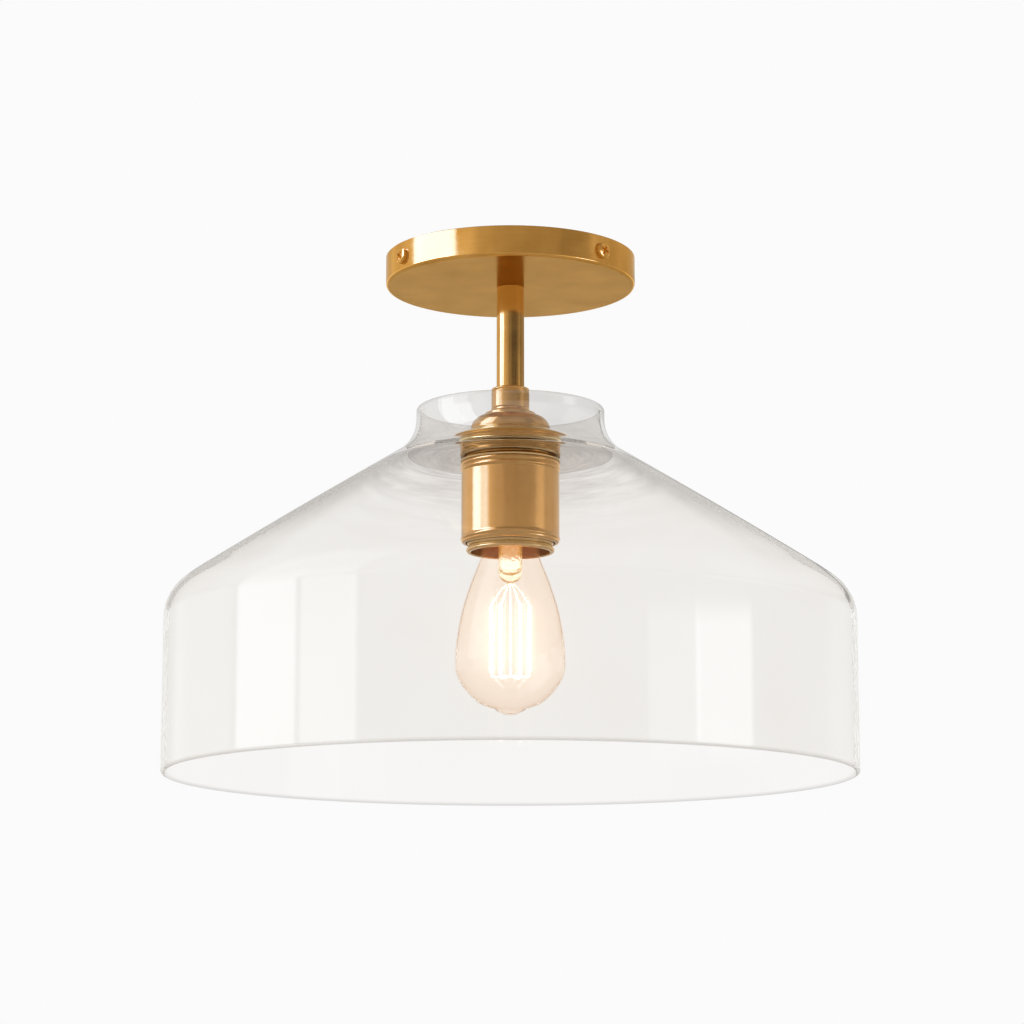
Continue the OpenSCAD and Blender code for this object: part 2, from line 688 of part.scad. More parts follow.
module shade_flange() {
    edge_r = flange_edge_t / 2;
    z_lip = z_cap - flange_drop;
    slope_from = [cap_r + flange_land_w, z_cap];
    slope_to = [flange_lip_r - edge_r, z_lip + edge_r];
    barrel_r = flange_foot_r + flange_foot_bevel;
    z_barrel = z_lip - 2 * edge_r;
    barrel_h = z_barrel - z_flange_foot - flange_foot_bevel;
    steps = 8 * flange_grooves;
    color("goldenrod") rotate_extrude() polygon(concat(
        [[pipe_hole_r, z_cap]],
        // The upper face of the lip, hollowed a little
        [for (i = [0:6]) let (t = i / 6)
            slope_from + t * (slope_to - slope_from) - [0, 4 * flange_hollow * t * (1 - t)]],
        arc([flange_lip_r - edge_r, z_lip], edge_r, 60, -90, 6),
        // The grooved barrel under the lip
        [for (i = [0:steps])
            [barrel_r - flange_groove_depth * (0.5 - 0.5 * cos(45 * i)), z_barrel - barrel_h * i / steps]],
        [[flange_foot_r, z_flange_foot], [web_hole_r, z_flange_foot],
         [web_hole_r, z_flange_plate], [pipe_hole_r, z_flange_plate]]));
}

module upper_gasket() {
    color("whitesmoke") ring(gasket_out_r, gasket_in_r, z_flange_foot, z_web);
}

module glass_shade() {
    wall_c = [glass_r - shoulder_r, z_wall_top];
    bend_c = [glass_r, z_wall_top] + blend_c;
    half = glass_t / 2;
    // Both faces of the wall share the centres of their bends
    color("azure", 0.4) union() {
        rotate_extrude() polygon(concat(
            arc([glass_r - half, z_rim + half], half, -90, 0, 4),
            arc(wall_c, shoulder_r, 0, shoulder_turn, 8),
            arc(bend_c, shoulder_blend_r, shoulder_turn, 90 - cone_out, 2),
            arc(cone_c, cone_r, 90 - cone_out, 90 - cone_in, 4),
            arc(fillet_c, neck_fillet_r, 270 - cone_in, 180, 8),
            arc([neck_r - half, z_neck_top - half], half, 0, 180, 6),
            arc(fillet_c, neck_fillet_r + glass_t, 180, 270 - cone_in, 8),
            arc(cone_c, cone_r - glass_t, 90 - cone_in, 90 - cone_out, 4),
            arc(bend_c, shoulder_blend_r - glass_t, 90 - cone_out, shoulder_turn, 2),
            arc(wall_c, shoulder_r - glass_t, shoulder_turn, 0, 8),
            arc([glass_r - half, z_rim + half], half, 180, 240, 3)));
        // The web ends inside the wall
        rotate_extrude() polygon([[web_hole_r, z_web], [wall_in_r(z_web) + half, z_web],
            [wall_in_r(z_web_low) + half, z_web_low], [web_hole_r, z_web_low]]);
    }
}
// Radius of the glass's inner face at a height of the fillet or the cone
function wall_in_r(z) =
    let (r = neck_fillet_r + glass_t, h = fillet_c[1] - z, end_h = r * cos(cone_in))
        h < end_h ? fillet_c[0] - sqrt(r ^ 2 - h ^ 2)
            : fillet_c[0] - r * sin(cone_in) + (h - end_h) / tan(cone_slope);

module lower_gasket() {
    color("whitesmoke") ring(gasket_out_r, gasket_in_r, z_web_low, z_skirt);
}

module skirt() {
    bead_half = skirt_bead_w / 2;
    z_bead = z_skirt_low + skirt_edge_r + skirt_bead_up + bead_half;
    z_inside = z_skirt_low + skirt_wall;
    color("goldenrod") rotate_extrude() polygon(concat(
        [[skirt_root_r, z_skirt]],
        [for (i = [0:8 * grip_beads]) [skirt_r + grip_h * (0.5 - 0.5 * cos(45 * i)), z_skirt - grip_pitch * i / 8]],
        [for (i = [3:-1:-3]) [skirt_r + skirt_bead_h * (0.5 + 0.5 * cos(60 * i)), z_bead + bead_half * i / 3]],
        arc([skirt_r - skirt_edge_r, z_skirt_low + skirt_edge_r], skirt_edge_r, 0, -90, 5),
        [[skirt_crest_r, z_skirt_low], [skirt_crest_r, z_inside],
         [skirt_in_r - skirt_edge_r + skirt_wall / 2, z_inside], [skirt_in_r, z_skirt_low + skirt_edge_r],
         [skirt_in_r, z_skirt_thread + rest_gap], [skirt_root_r, z_skirt_thread + rest_gap]]));
}

module skirt_thread() {
    rows = thread_rows(z_skirt_thread, z_skirt_thread_low, skirt_pitch);
    section = function(a) concat(
        [for (z = rows) [skirt_root_r - skirt_thread_depth
            * furrow(z, a, skirt_pitch, z_skirt_thread, z_skirt_thread_low), z]],
        [[skirt_in_r - rest_gap, z_skirt_thread_low], [skirt_in_r - rest_gap, z_skirt_thread]]);
    color("goldenrod") turned_loop(section, skirt_steps);
}

module inner_sleeve() {
    neck_r = sleeve_r - sleeve_neck_in;
    mouth_r = holder_r + mouth_clear;
    lip_r = sleeve_r + lip_out;
    z_bead = (z_mouth + lip_h + z_neck) / 2 + neck_bead_w / 5;
    color("goldenrod") difference() {
        rotate_extrude() polygon(concat(
            [[pipe_hole_r, z_flange_plate], [sleeve_r, z_flange_plate],
             [sleeve_r, z_neck + sleeve_neck_in], [neck_r, z_neck]],
            [for (i = [3:-1:-3]) [neck_r + neck_bead_h * (0.5 + 0.5 * cos(60 * i)), z_bead + neck_bead_w * i / 6]],
            arc([lip_r - lip_h / 2, z_mouth + lip_h / 2], lip_h / 2, 60, -90, 8),
            [[mouth_r + turned_bevel, z_mouth], [mouth_r, z_mouth + turned_bevel],
             [mouth_r, z_neck + sleeve_neck_in / 2], [sleeve_bore_r, z_neck + 2 * sleeve_neck_in],
             [sleeve_bore_r, z_sleeve_plate], [pipe_hole_r, z_sleeve_plate]]));
        for (s = [-1, 1]) translate([s * post_x, 0, z_sleeve_plate - over])
            cylinder(r = holder_hole_r, h = sleeve_plate_t + 2 * over);
    }
}

module sleeve_thread() {
    z_top = z_flange_foot - sleeve_thread_extra;
    z_low = z_skirt_thread_low - sleeve_thread_extra;
    rows = thread_rows(z_top, z_low, skirt_pitch);
    // The ring's flats clear the round sleeve
    inner_r = (sleeve_r + rest_gap) / cos(180 / skirt_steps);
    section = function(a) concat(
        [[inner_r, z_low]],
        [for (z = reversed(rows)) [sleeve_root_r + skirt_thread_depth
            * ridge(z, a, skirt_pitch, z_top, z_low), z]],
        [[inner_r, z_top]]);
    color("goldenrod") turned_loop(section, skirt_steps);
}

module sleeve_washer() {
    color("silver") ring(washer_d / 2, pipe_hole_r, z_sleeve_plate, z_low_washer);
}

module sleeve_nut() {
    color("silver") translate([0, 0, z_low_nut]) pipe_nut(sleeve_nut_h);
}

module holder_body() {
    slot_gap = 2 * rest_gap;
    floor_cut_h = holder_floor + 2 * over;
    color("ivory") difference() {
        union() {
            rotate_extrude() polygon(concat([[0, z_holder]],
                arc([holder_r - holder_edge_r, z_holder - holder_edge_r], holder_edge_r, 90, 0, 4),
                arc([holder_r - holder_edge_r, z_holder_low + holder_edge_r], holder_edge_r, 0, -90, 4),
                [[0, z_holder_low]]));
            for (s = [-1, 1]) translate([s * post_x, 0, z_holder - over])
                cylinder(d = post_d, h = z_sleeve_plate - z_holder + over);
        }
        translate([0, 0, z_holder_low - over]) cylinder(r = cavity_r, h = z_cavity - z_holder_low + over);
        for (s = [-1, 1]) translate([s * post_x, 0, z_holder_low - over])
            cylinder(r = holder_hole_r, h = z_sleeve_plate - z_holder_low + 2 * over);
        for (s = [-1, 1]) translate([0, s * terminal_y, z_holder - terminal_hole_h])
            cylinder(r = terminal_hole_r, h = terminal_hole_h + over);
        translate([0, -rivet_y, z_cavity - over]) cylinder(r = rivet_d / 2 + tapped_clear, h = floor_cut_h);
        translate([-contact_w / 2 - slot_gap, strap_y - slot_gap, z_cavity - over])
            cube([contact_w + 2 * slot_gap, contact_t + 2 * slot_gap, floor_cut_h]);
    }
}

module holder_screws() {
    color("silver") for (s = [-1, 1])
        translate([s * post_x, 0, z_holder_low]) rotate([180, 0, 0])
            screw(holder_screw_d, z_flange_plate - z_holder_low - rest_gap, post_d, small_head_h, false);
}

module screw_shell() {
    z_top = z_shell - shell_rim_h;
    rows = thread_rows(z_top, z_shell_low, bulb_pitch);
    wave = function(z, a) shell_root_r - bulb_thread_depth
        * furrow(z, a, bulb_pitch, z_top, z_shell_low);
    section = function(a) concat(
        [[shell_root_r, z_shell]], [for (z = rows) [wave(z, a), z]],
        [for (z = reversed(rows)) [wave(z, a) + shell_t, z]], [[shell_root_r + shell_t, z_shell]]);
    color("gold") turned_loop(section, bulb_steps);
}

module shell_contact() {
    outer_y = strap_y + contact_t;
    edge_y = holder_r - holder_edge_r;
    z_foot = z_shell - 0.9 * shell_rim_h;
    color("gold") difference() {
        translate([-contact_w / 2, 0, 0]) rotate([90, 0, 90]) linear_extrude(contact_w)
            polygon([[strap_y, z_foot], [outer_y, z_foot], [outer_y, z_holder], [edge_y, z_holder],
                [edge_y, z_plates], [strap_y, z_plates]]);
        translate([0, terminal_y, z_holder - over]) cylinder(r = terminal_hole_r, h = contact_t + 2 * over);
    }
}

module centre_contact() {
    edge_y = holder_r - holder_edge_r;
    heel_y = rivet_y + leaf_end + rivet_d / 4;
    z_low = z_leaf - leaf_drop;
    bend_y = rivet_y / 2;
    color("gold") union() {
        translate([-contact_w / 2, 0, 0]) rotate([90, 0, 90]) linear_extrude(contact_w)
            polygon([[-heel_y, z_cavity], [-bend_y, z_cavity], [-leaf_end / 2, z_cavity - leaf_drop],
                [leaf_end, z_cavity - leaf_drop], [leaf_end, z_low], [-leaf_end / 2 - contact_t / 2, z_low],
                [-bend_y - contact_t / 2, z_leaf], [-heel_y, z_leaf]]);
        translate([0, -rivet_y, z_leaf]) cylinder(d = rivet_d, h = z_plates - z_leaf);
        difference() {
            translate([-contact_w / 2, -edge_y, z_holder])
                cube([contact_w, edge_y - rivet_y + rivet_d, contact_t]);
            translate([0, -terminal_y, z_holder - over])
                cylinder(r = terminal_hole_r, h = contact_t + 2 * over);
        }
    }
}

module terminal_screws() {
    shank = z_terminal_head - z_holder + terminal_hole_h - 8 * rest_gap;
    color("gold") for (s = [-1, 1]) translate([0, s * terminal_y, z_terminal_head])
        screw(terminal_screw_d, shank, terminal_head_d, small_head_h, false);
}

// Radii of a lead whose first three points are its stripped end
function lead_radii(path) = [for (i = [0:len(path) - 1]) i < 3 ? strip_d / 2 : lead_d / 2];

// One lead, from its terminal up through the pipe to its wire nut
module mains_lead() {
    z_bed = z_plates + lead_d / 2 + rest_gap;
    rise = z_pipe_low - z_bed;
    y_head = -terminal_y + terminal_head_d / 2;
    y_turn = -rivet_y;
    route = [
        [0, y_head + 1.1 * bare_len, z_bed], [0, y_head + 2.2 * bare_len, z_bed],
        [0, y_turn, z_bed + rise * 0.08], [0, y_turn * 0.46, z_bed + rise * 0.42],
        [0, -lead_side, z_pipe_low + lead_d * 0.3], [0, -lead_side, z_pipe_low + lead_d * 1.5],
        [0, -lead_side, z_collar], [0, -lead_side, z_stem], [0, -lead_side, z_canopy],
        [0, -lead_side, z_pipe_top - lead_d / 2],
        [-lead_side * 0.6, -lead_side * 1.7, z_pipe_top + lead_d * 0.75],
        [-wire_nut_x * 0.2, -wire_nut_y * 0.3, -plate_t - lead_d * 1.2],
        [-wire_nut_x * 0.45, -wire_nut_y * 0.61, z_nuts + lead_d * 1.6],
        [-wire_nut_x * 0.75, -wire_nut_y * 0.94, z_nuts + lead_d * 0.4],
        [-wire_nut_x, -wire_nut_y, z_nuts], [-wire_nut_x - lead_d * 3, -wire_nut_y, z_nuts]];
    bared = [[0, -terminal_y + terminal_screw_d / 2 + 2 * rest_gap, z_wire], [0, y_head + bare_len / 3, z_wire],
        [0, y_head + bare_len, z_bed]];
    path = concat(bared, spline(route, 3));
    swept_wire(path, lead_radii(path), 8);
}

module hot_lead() {
    color("dimgray") mains_lead();
}

module neutral_lead() {
    color("white") rotate([0, 0, 180]) mains_lead();
}

module ground_lead() {
    z_strip = -plate_t - strip_d / 2 - rest_gap;
    z_bed = -plate_t - lead_d / 2 - 2 * rest_gap;
    x_head = side_head_d / 2;
    drop = z_nuts - z_bed;
    y = -ground_screw_y;
    y_run = ground_screw_y - wire_nut_y;
    route = [
        [x_head + 1.1 * bare_len, y, z_bed], [x_head + 2.5 * bare_len, y + y_run * 0.02, z_bed],
        [x_head + 5 * bare_len, y + y_run * 0.22, z_bed + drop * 0.3],
        [x_head + 5.5 * bare_len, y + y_run * 0.5, z_bed + drop * 0.66],
        [wire_nut_x * 0.68, -wire_nut_y * 1.18, z_nuts + lead_d * 0.2],
        [wire_nut_x * 0.83, -wire_nut_y * 1.03, z_nuts],
        [wire_nut_x, -wire_nut_y, z_nuts], [wire_nut_x + lead_d * 3, -wire_nut_y, z_nuts]];
    bared = [[side_screw_d / 2 + 2 * rest_gap, y, z_strip], [x_head + bare_len / 3, y, z_strip],
        [x_head + bare_len, y, z_bed]];
    path = concat(bared, spline(route, 3));
    color("green") swept_wire(path, lead_radii(path), 8);
}

module wire_nuts() {
    color("orange") for (p = [[-1, -1], [1, 1], [1, -1]])
        translate([p[0] * wire_nut_x, p[1] * wire_nut_y, z_nuts]) rotate([0, p[0] * 90, 0]) wire_nut();
}
// A tapered wire nut with a rim at its mouth and a bore for its lead
module wire_nut() {
    r = wire_nut_d / 2;
    bore = lead_d / 2 + loose_gap;
    rim = wire_nut_len * 0.15;
    rotate_extrude() polygon([[bore, 0], [r * 0.92, 0], [r, rim * 0.2], [r, rim], [r * 0.9, rim * 1.2],
        [r * 0.66, wire_nut_len * 0.93], [r * 0.5, wire_nut_len], [0, wire_nut_len],
        [0, wire_nut_len * 0.6], [bore, wire_nut_len * 0.5]]);
}

// The bulb's outline, from its neck to its tip: radii as shares of the widest one and
// heights as shares of the glass's length, below a neck that widens from the base
bulb_outline = spline(concat(
    [[bulb_neck_r, z_base_low - bulb_wall], [bulb_neck_r * 1.02, z_base_low - bulb_neck_len * 0.31],
     [bulb_neck_r * 1.09, z_base_low - bulb_neck_len * 0.69]],
    [for (p = [[0.58, 0.752], [0.72, 0.654], [0.878, 0.516], [0.972, 0.376], [1, 0.272], [0.974, 0.2],
               [0.84, 0.132], [0.56, 0.062], [0.28, 0.024], [0.09, 0.01], [0, 0]])
        [bulb_d / 2 * p[0], z_bulb_low + bulb_glass_len * p[1]]]), 4);

module bulb_envelope() {
    inner = inset(bulb_outline, -bulb_wall);
    z_shelf = z_base_low - 2 * rest_gap;
    color("wheat", 0.5) rotate_extrude() polygon(concat(
        [[bulb_seat_r, z_bulb_seat], [bulb_seat_r, z_shelf], [bulb_neck_r - bulb_wall / 2, z_shelf]],
        bulb_outline,
        [[0, z_bulb_low + bulb_wall]],
        reversed([for (i = [1:len(inner) - 2]) inner[i]]),
        [[bulb_neck_r - bulb_wall, z_base_low - 2 * bulb_wall], [bulb_seat_r - bulb_wall, z_shelf - bulb_wall],
         [bulb_seat_r - bulb_wall, z_bulb_seat]]));
}

module bulb_base() {
    z_thread = z_base - base_lead_in;
    z_thread_low = z_base_low + base_foot_h * 1.15;
    rows = thread_rows(z_thread, z_thread_low, bulb_pitch);
    bore = bulb_seat_r + base_gap;
    foot_r = bulb_neck_r - 4 * rest_gap;
    section = function(a) concat(
        [[bore, z_base_low], [foot_r, z_base_low], [foot_r, z_base_low + base_foot_h * 0.3],
         [bulb_root_r, z_base_low + base_foot_h]],
        [for (z = reversed(rows)) [bulb_root_r + bulb_thread_depth
            * ridge(z, a, bulb_pitch, z_thread, z_thread_low), z]],
        [[bulb_root_r - base_lead_in * 0.4, z_base], [bulb_root_r - base_lead_in * 1.1, z_base],
         [bore, z_base - base_lead_in * 0.9]]);
    color("gold") turned_loop(section, bulb_steps);
}

module bulb_insulator() {
    top_r = bulb_root_r - base_lead_in / 2;
    color("black") translate([0, 0, z_base]) rotate_extrude()
        polygon([[0, 0], [top_r, 0], [top_r - insulator_h * 0.2, insulator_h * 0.2],
            [tip_d / 2 * 1.2, insulator_h], [0, insulator_h]]);
}

module bulb_contact() {
    r = tip_d / 2;
    color("silver") translate([0, 0, z_insulator]) rotate_extrude()
        polygon([[0, 0], [r, 0], [r, tip_h * 0.4], [r * 0.83, tip_h * 0.8], [r * 0.49, tip_h], [0, tip_h]]);
}

module bulb_mount() {
    r = mount_d / 2;
    flare_r = bulb_seat_r - bulb_wall - loose_gap;
    shoulder = mount_d * 0.56;
    wall = mount_d * 0.08;
    color("azure", 0.5) rotate_extrude() polygon([
        [flare_r - wall, z_bulb_seat], [flare_r, z_bulb_seat], [flare_r, z_bulb_seat - wall],
        [r + 1.4 * wall, z_bulb_seat - shoulder / 2], [r, z_bulb_seat - shoulder],
        [r, z_mount_low + r * 0.8], [r * 0.75, z_mount_low + r * 0.26], [r * 0.36, z_mount_low],
        [0, z_mount_low], [0, z_mount_low + r * 0.65], [r - wall, z_mount_low + r * 1.13],
        [r - wall, z_bulb_seat - shoulder + wall / 2], [r + wall / 2, z_bulb_seat - shoulder / 2 + wall]]);
}

module bulb_filaments() {
    color("moccasin") for (k = [0:filament_count - 1])
        rotate([0, 0, 360 * (k + 0.5) / filament_count])
            translate([-filament_w / 2, -filament_ring_r - filament_t / 2, z_filament_low])
                cube([filament_w, filament_t, filament_len]);
}

module bulb_supports() {
    d = support_wire_d;
    boss_r = mount_d * 0.145;
    z_boss = z_mount_low - 2 * rest_gap;
    foot = [0, -boss_r * 0.78, z_boss - d / 4];
    head = [0, -filament_ring_r, z_filament + 2 * rest_gap];
    reach = head - foot;
    color("silver") union() {
        translate([0, 0, z_star]) cylinder(d = d, h = z_boss - z_star, $fn = 16);
        translate([0, 0, z_boss - boss_r * 0.67]) cylinder(r = boss_r, h = boss_r * 0.67, $fn = 24);
        for (k = [0:filament_count - 1]) rotate([0, 0, 360 * (k + 0.5) / filament_count]) {
            translate(foot) rotate([acos(reach[2] / norm(reach)), 0, 0])
                cylinder(d = d, h = norm(reach), $fn = 16);
            translate([0, 0, z_star + d / 2]) rotate([90, 0, 0])
                cylinder(d = d, h = filament_ring_r, $fn = 16);
            translate([0, -filament_ring_r, z_star + d / 4])
                cylinder(d = d, h = z_filament_low - z_star - d / 4 - 2 * rest_gap, $fn = 16);
        }
    }
}

mounting_plate();
ground_screw();
canopy();
canopy_screws();
stem_pipe();
canopy_washer();
canopy_nut();
stem_tube();
collar();
socket_cap();
shade_flange();
upper_gasket();
glass_shade();
lower_gasket();
skirt();
skirt_thread();
inner_sleeve();
sleeve_thread();
sleeve_washer();
sleeve_nut();
holder_body();
holder_screws();
screw_shell();
shell_contact();
centre_contact();
terminal_screws();
hot_lead();
neutral_lead();
ground_lead();
wire_nuts();
bulb_envelope();
bulb_base();
bulb_insulator();
bulb_contact();
bulb_mount();
bulb_filaments();
bulb_supports();
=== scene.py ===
from math import asin, cos, degrees, pi, radians, sin, sqrt, tan

import bmesh
import bpy
from mathutils import Matrix, Vector


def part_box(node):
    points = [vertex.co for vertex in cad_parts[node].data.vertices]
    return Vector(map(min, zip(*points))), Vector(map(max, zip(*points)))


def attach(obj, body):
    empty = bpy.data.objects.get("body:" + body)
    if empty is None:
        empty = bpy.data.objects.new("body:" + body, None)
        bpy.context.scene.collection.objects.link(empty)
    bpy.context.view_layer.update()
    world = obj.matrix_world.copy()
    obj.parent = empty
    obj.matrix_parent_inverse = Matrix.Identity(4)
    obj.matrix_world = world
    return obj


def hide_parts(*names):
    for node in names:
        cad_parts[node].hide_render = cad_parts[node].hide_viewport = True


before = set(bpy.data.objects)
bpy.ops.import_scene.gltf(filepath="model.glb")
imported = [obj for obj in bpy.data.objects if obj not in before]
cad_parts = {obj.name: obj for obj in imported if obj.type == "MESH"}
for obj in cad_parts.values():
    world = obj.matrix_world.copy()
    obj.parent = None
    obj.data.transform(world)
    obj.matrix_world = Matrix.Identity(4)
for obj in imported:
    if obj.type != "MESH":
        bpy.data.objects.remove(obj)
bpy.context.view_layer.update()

# Lengths in this script are millimetres, and turn into metres where they reach Blender
MM = 0.001
# A smaller radius lies on the axis, and points that are closer are one point
ON_AXIS = 1e-6
SAME_POINT = 1e-4
# A side of an outline that is longer than this is held at both ends, this far from them
LONG_SIDE, HOLD = 1.2, 0.2


def low(node):
    """Height of a node's lowest point."""
    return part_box(node)[0].z / MM


def high(node):
    """Height of a node's highest point."""
    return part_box(node)[1].z / MM


def radius(node):
    """Radius of a round node around the axis."""
    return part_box(node)[1].x / MM


# Outlines, as lists of radius and height

def arc(centre, r, a0, a1, steps):
    """Points on an arc from angle a0 to a1, in degrees."""
    turn = [radians(a0 + (a1 - a0) * i / steps) for i in range(steps + 1)]
    return [(centre[0] + r * cos(a), centre[1] + r * sin(a)) for a in turn]


def bend(start, corner, end, steps):
    """A rounded corner from start to end."""
    a, b, c = Vector(start), Vector(corner), Vector(end)
    shares = [i / steps for i in range(steps + 1)]
    return [tuple((1 - t) ** 2 * a + 2 * t * (1 - t) * b + t ** 2 * c) for t in shares]


def eased(points, r, steps=4):
    """A closed outline with its corners rounded to r."""
    out = []
    for i, p in enumerate(points):
        corner = Vector(p)
        u, v = Vector(points[i - 1]) - corner, Vector(points[(i + 1) % len(points)]) - corner
        back = r / tan(u.angle(v) / 2)
        out += bend(corner + back * u.normalized(), corner, corner + back * v.normalized(), steps)
    return out


def smooth_through(points, steps):
    """A smooth curve through points, with that many steps for each stretch."""
    out, last = [], len(points) - 1
    for i in range(last):
        a, b = Vector(points[max(i - 1, 0)]), Vector(points[i])
        c, d = Vector(points[i + 1]), Vector(points[min(i + 2, last)])
        for j in range(steps):
            t = j / steps
            q = 0.5 * (2 * b + (c - a) * t + (2 * a - 5 * b + 4 * c - d) * t ** 2
                       + (3 * b - a - 3 * c + d) * t ** 3)
            out.append(tuple(q))
    return out + [tuple(points[-1])]


def bead(r, depth, z, half, steps=9):
    """A soft bead that stands out from r by depth, from half above z to half below it."""
    return [(r + depth * (0.5 + 0.5 * cos(pi * i / steps)), z + half * i / steps)
            for i in range(steps, -steps - 1, -1)]


def held(outline):
    """The same outline with a point near each end of its long sides, so that bends stay shaded as bends."""
    out = []
    for i, p in enumerate(outline):
        a, b = Vector(p), Vector(outline[(i + 1) % len(outline)])
        out.append(tuple(a))
        if (b - a).length > LONG_SIDE:
            step = (b - a).normalized() * HOLD
            out += [tuple(a + step), tuple(b - step)]
    return out


# Meshes

def finished(name, bm, sharp=35):
    """An object from bm, smooth but for edges sharper than that many degrees."""
    bmesh.ops.remove_doubles(bm, verts=bm.verts, dist=SAME_POINT)
    bmesh.ops.recalc_face_normals(bm, faces=bm.faces)
    bmesh.ops.scale(bm, vec=(MM, MM, MM), verts=bm.verts)
    mesh = bpy.data.meshes.new(name)
    bm.to_mesh(mesh)
    bm.free()
    mesh.shade_smooth()
    mesh.set_sharp_from_angle(angle=radians(sharp))
    piece = bpy.data.objects.new(name, mesh)
    bpy.context.scene.collection.objects.link(piece)
    return piece


def add_turned(bm, outline, steps):
    """A closed outline, turned around the axis in that many steps."""
    rings = []
    for k in range(steps):
        c, s = cos(2 * pi * k / steps), sin(2 * pi * k / steps)
        rings.append([bm.verts.new((r * c, r * s, z)) for r, z in outline])
    for k, here in enumerate(rings):
        there = rings[(k + 1) % steps]
        for i in range(len(outline)):
            j = (i + 1) % len(outline)
            if outline[i][0] > ON_AXIS or outline[j][0] > ON_AXIS:
                bm.faces.new((here[i], there[i], there[j], here[j]))


def turned(name, outline, steps=256, sharp=35):
    """An object from a closed outline that is turned around the axis."""
    bm = bmesh.new()
    add_turned(bm, held(outline), steps)
    return finished(name, bm, sharp)


def bridge(bm, ring, other):
    """Faces between two rings with as many points."""
    for k in range(len(ring)):
        m = (k + 1) % len(ring)
        bm.faces.new((ring[k], ring[m], other[m], other[k]))


def close(bm, ring, tip):
    """Faces from a ring to one point."""
    for k in range(len(ring)):
        bm.faces.new((ring[k], ring[(k + 1) % len(ring)], tip))


def add_tube(bm, path, r, sides=10, round_ends=True):
    """A round bar along path, a list of points, with r one radius or one for each point."""
    path = [Vector(p) for p in path]
    radii = r if isinstance(r, list) else [r] * len(path)
    tip_out = 0.5 * radii[0] if round_ends else 0
    last = len(path) - 1
    normal = (path[1] - path[0]).normalized().orthogonal().normalized()
    rings = []
    for i, p in enumerate(path):
        t = (path[min(i + 1, last)] - path[max(i - 1, 0)]).normalized()
        normal = (normal - normal.dot(t) * t).normalized()
        side = t.cross(normal)
        rings.append([bm.verts.new(p + radii[i] * (cos(a) * normal + sin(a) * side))
                      for a in (2 * pi * k / sides for k in range(sides))])
    for ring, other in zip(rings, rings[1:]):
        bridge(bm, ring, other)
    for ring, end, inner in ((rings[0], path[0], path[1]), (rings[-1], path[-1], path[-2])):
        close(bm, ring, bm.verts.new(end + (end - inner).normalized() * tip_out))


# Materials

def preset(node, values):
    """Sets a node's inputs, given by name."""
    for name, value in values.items():
        node.inputs[name].default_value = value


def material(name):
    mat = bpy.data.materials.new(name)
    mat.use_nodes = True
    tree = mat.node_tree
    tree.nodes.clear()
    output = tree.nodes.new("ShaderNodeOutputMaterial")
    shader = tree.nodes.new("ShaderNodeBsdfPrincipled")
    tree.links.new(shader.outputs["BSDF"], output.inputs["Surface"])
    return mat, tree, shader, output


def plugged(tree, node, values):
    """Gives a node's first inputs numbers, colours or other nodes' outputs. None leaves one as it is."""
    for socket, value in zip(node.inputs, values):
        if isinstance(value, (int, float)):
            socket.default_value = value
        elif isinstance(value, tuple):
            socket.default_value = (*value, 1)
        elif value is not None:
            tree.links.new(value, socket)
    return node.outputs[0]


def maths(tree, operation, a, b=None, kind="ShaderNodeMath"):
    node = tree.nodes.new(kind)
    node.operation = operation
    return plugged(tree, node, (a, b))


def blended(tree, share, colour, other, way="MIX"):
    """The colour with a share of the other one over it."""
    node = tree.nodes.new("ShaderNodeMixRGB")
    node.blend_type = way
    return plugged(tree, node, (share, colour, other))


def ranged(tree, value, source, target):
    """The value, taken from the source's range to the target's."""
    return plugged(tree, tree.nodes.new("ShaderNodeMapRange"), (value, *source, *target))


def noise(tree, vector, scale, detail, rough=0.55):
    node = tree.nodes.new("ShaderNodeTexNoise")
    preset(node, {"Scale": scale, "Detail": detail, "Roughness": rough})
    tree.links.new(vector, node.inputs["Vector"])
    return node.outputs[0]


def ramp(tree, value, stops):
    """Follows stops, pairs of place and colour or level, straight from each to the next."""
    node = tree.nodes.new("ShaderNodeValToRGB")
    ends = node.color_ramp.elements
    while len(ends) < len(stops):
        ends.new(0.5)
    for end, (place, level) in zip(ends, stops):
        end.position = place
        end.color = (*(level if isinstance(level, tuple) else (level, level, level)), 1)
    tree.links.new(value, node.inputs[0])
    return node.outputs[0]


def tinted(tree, value, dark, light):
    """A colour between dark and light, with both reached in the noise's usual range."""
    return ramp(tree, value, ((0.25, dark), (0.75, light)))


def bumped(tree, shader, height, strength, distance):
    node = tree.nodes.new("ShaderNodeBump")
    preset(node, {"Strength": strength, "Distance": distance * MM})
    tree.links.new(height, node.inputs["Height"])
    tree.links.new(node.outputs[0], shader.inputs["Normal"])


def coordinates(tree, kind="Object"):
    return tree.nodes.new("ShaderNodeTexCoord").outputs[kind]


def split_xyz(tree, vector):
    node = tree.nodes.new("ShaderNodeSeparateXYZ")
    tree.links.new(vector, node.inputs[0])
    return node.outputs


def light_path(tree):
    return tree.nodes.new("ShaderNodeLightPath").outputs


def by_mirror(tree, ray):
    """1 for a ray that a surface has mirrored, and 0 for any other."""
    return maths(tree, "GREATER_THAN", ray["Glossy Depth"], 0.5)


def outward(tree):
    """1 where a surface turns away from the axis, and 0 where it turns towards it."""
    place, normal = split_xyz(tree, coordinates(tree)), split_xyz(tree, coordinates(tree, "Normal"))
    parts = [maths(tree, "MULTIPLY", place[i], normal[i]) for i in (0, 1)]
    return maths(tree, "GREATER_THAN", maths(tree, "ADD", *parts), 0)


# Coordinates around the axis treat a smaller radius as this one
LEAST_R = 0.5


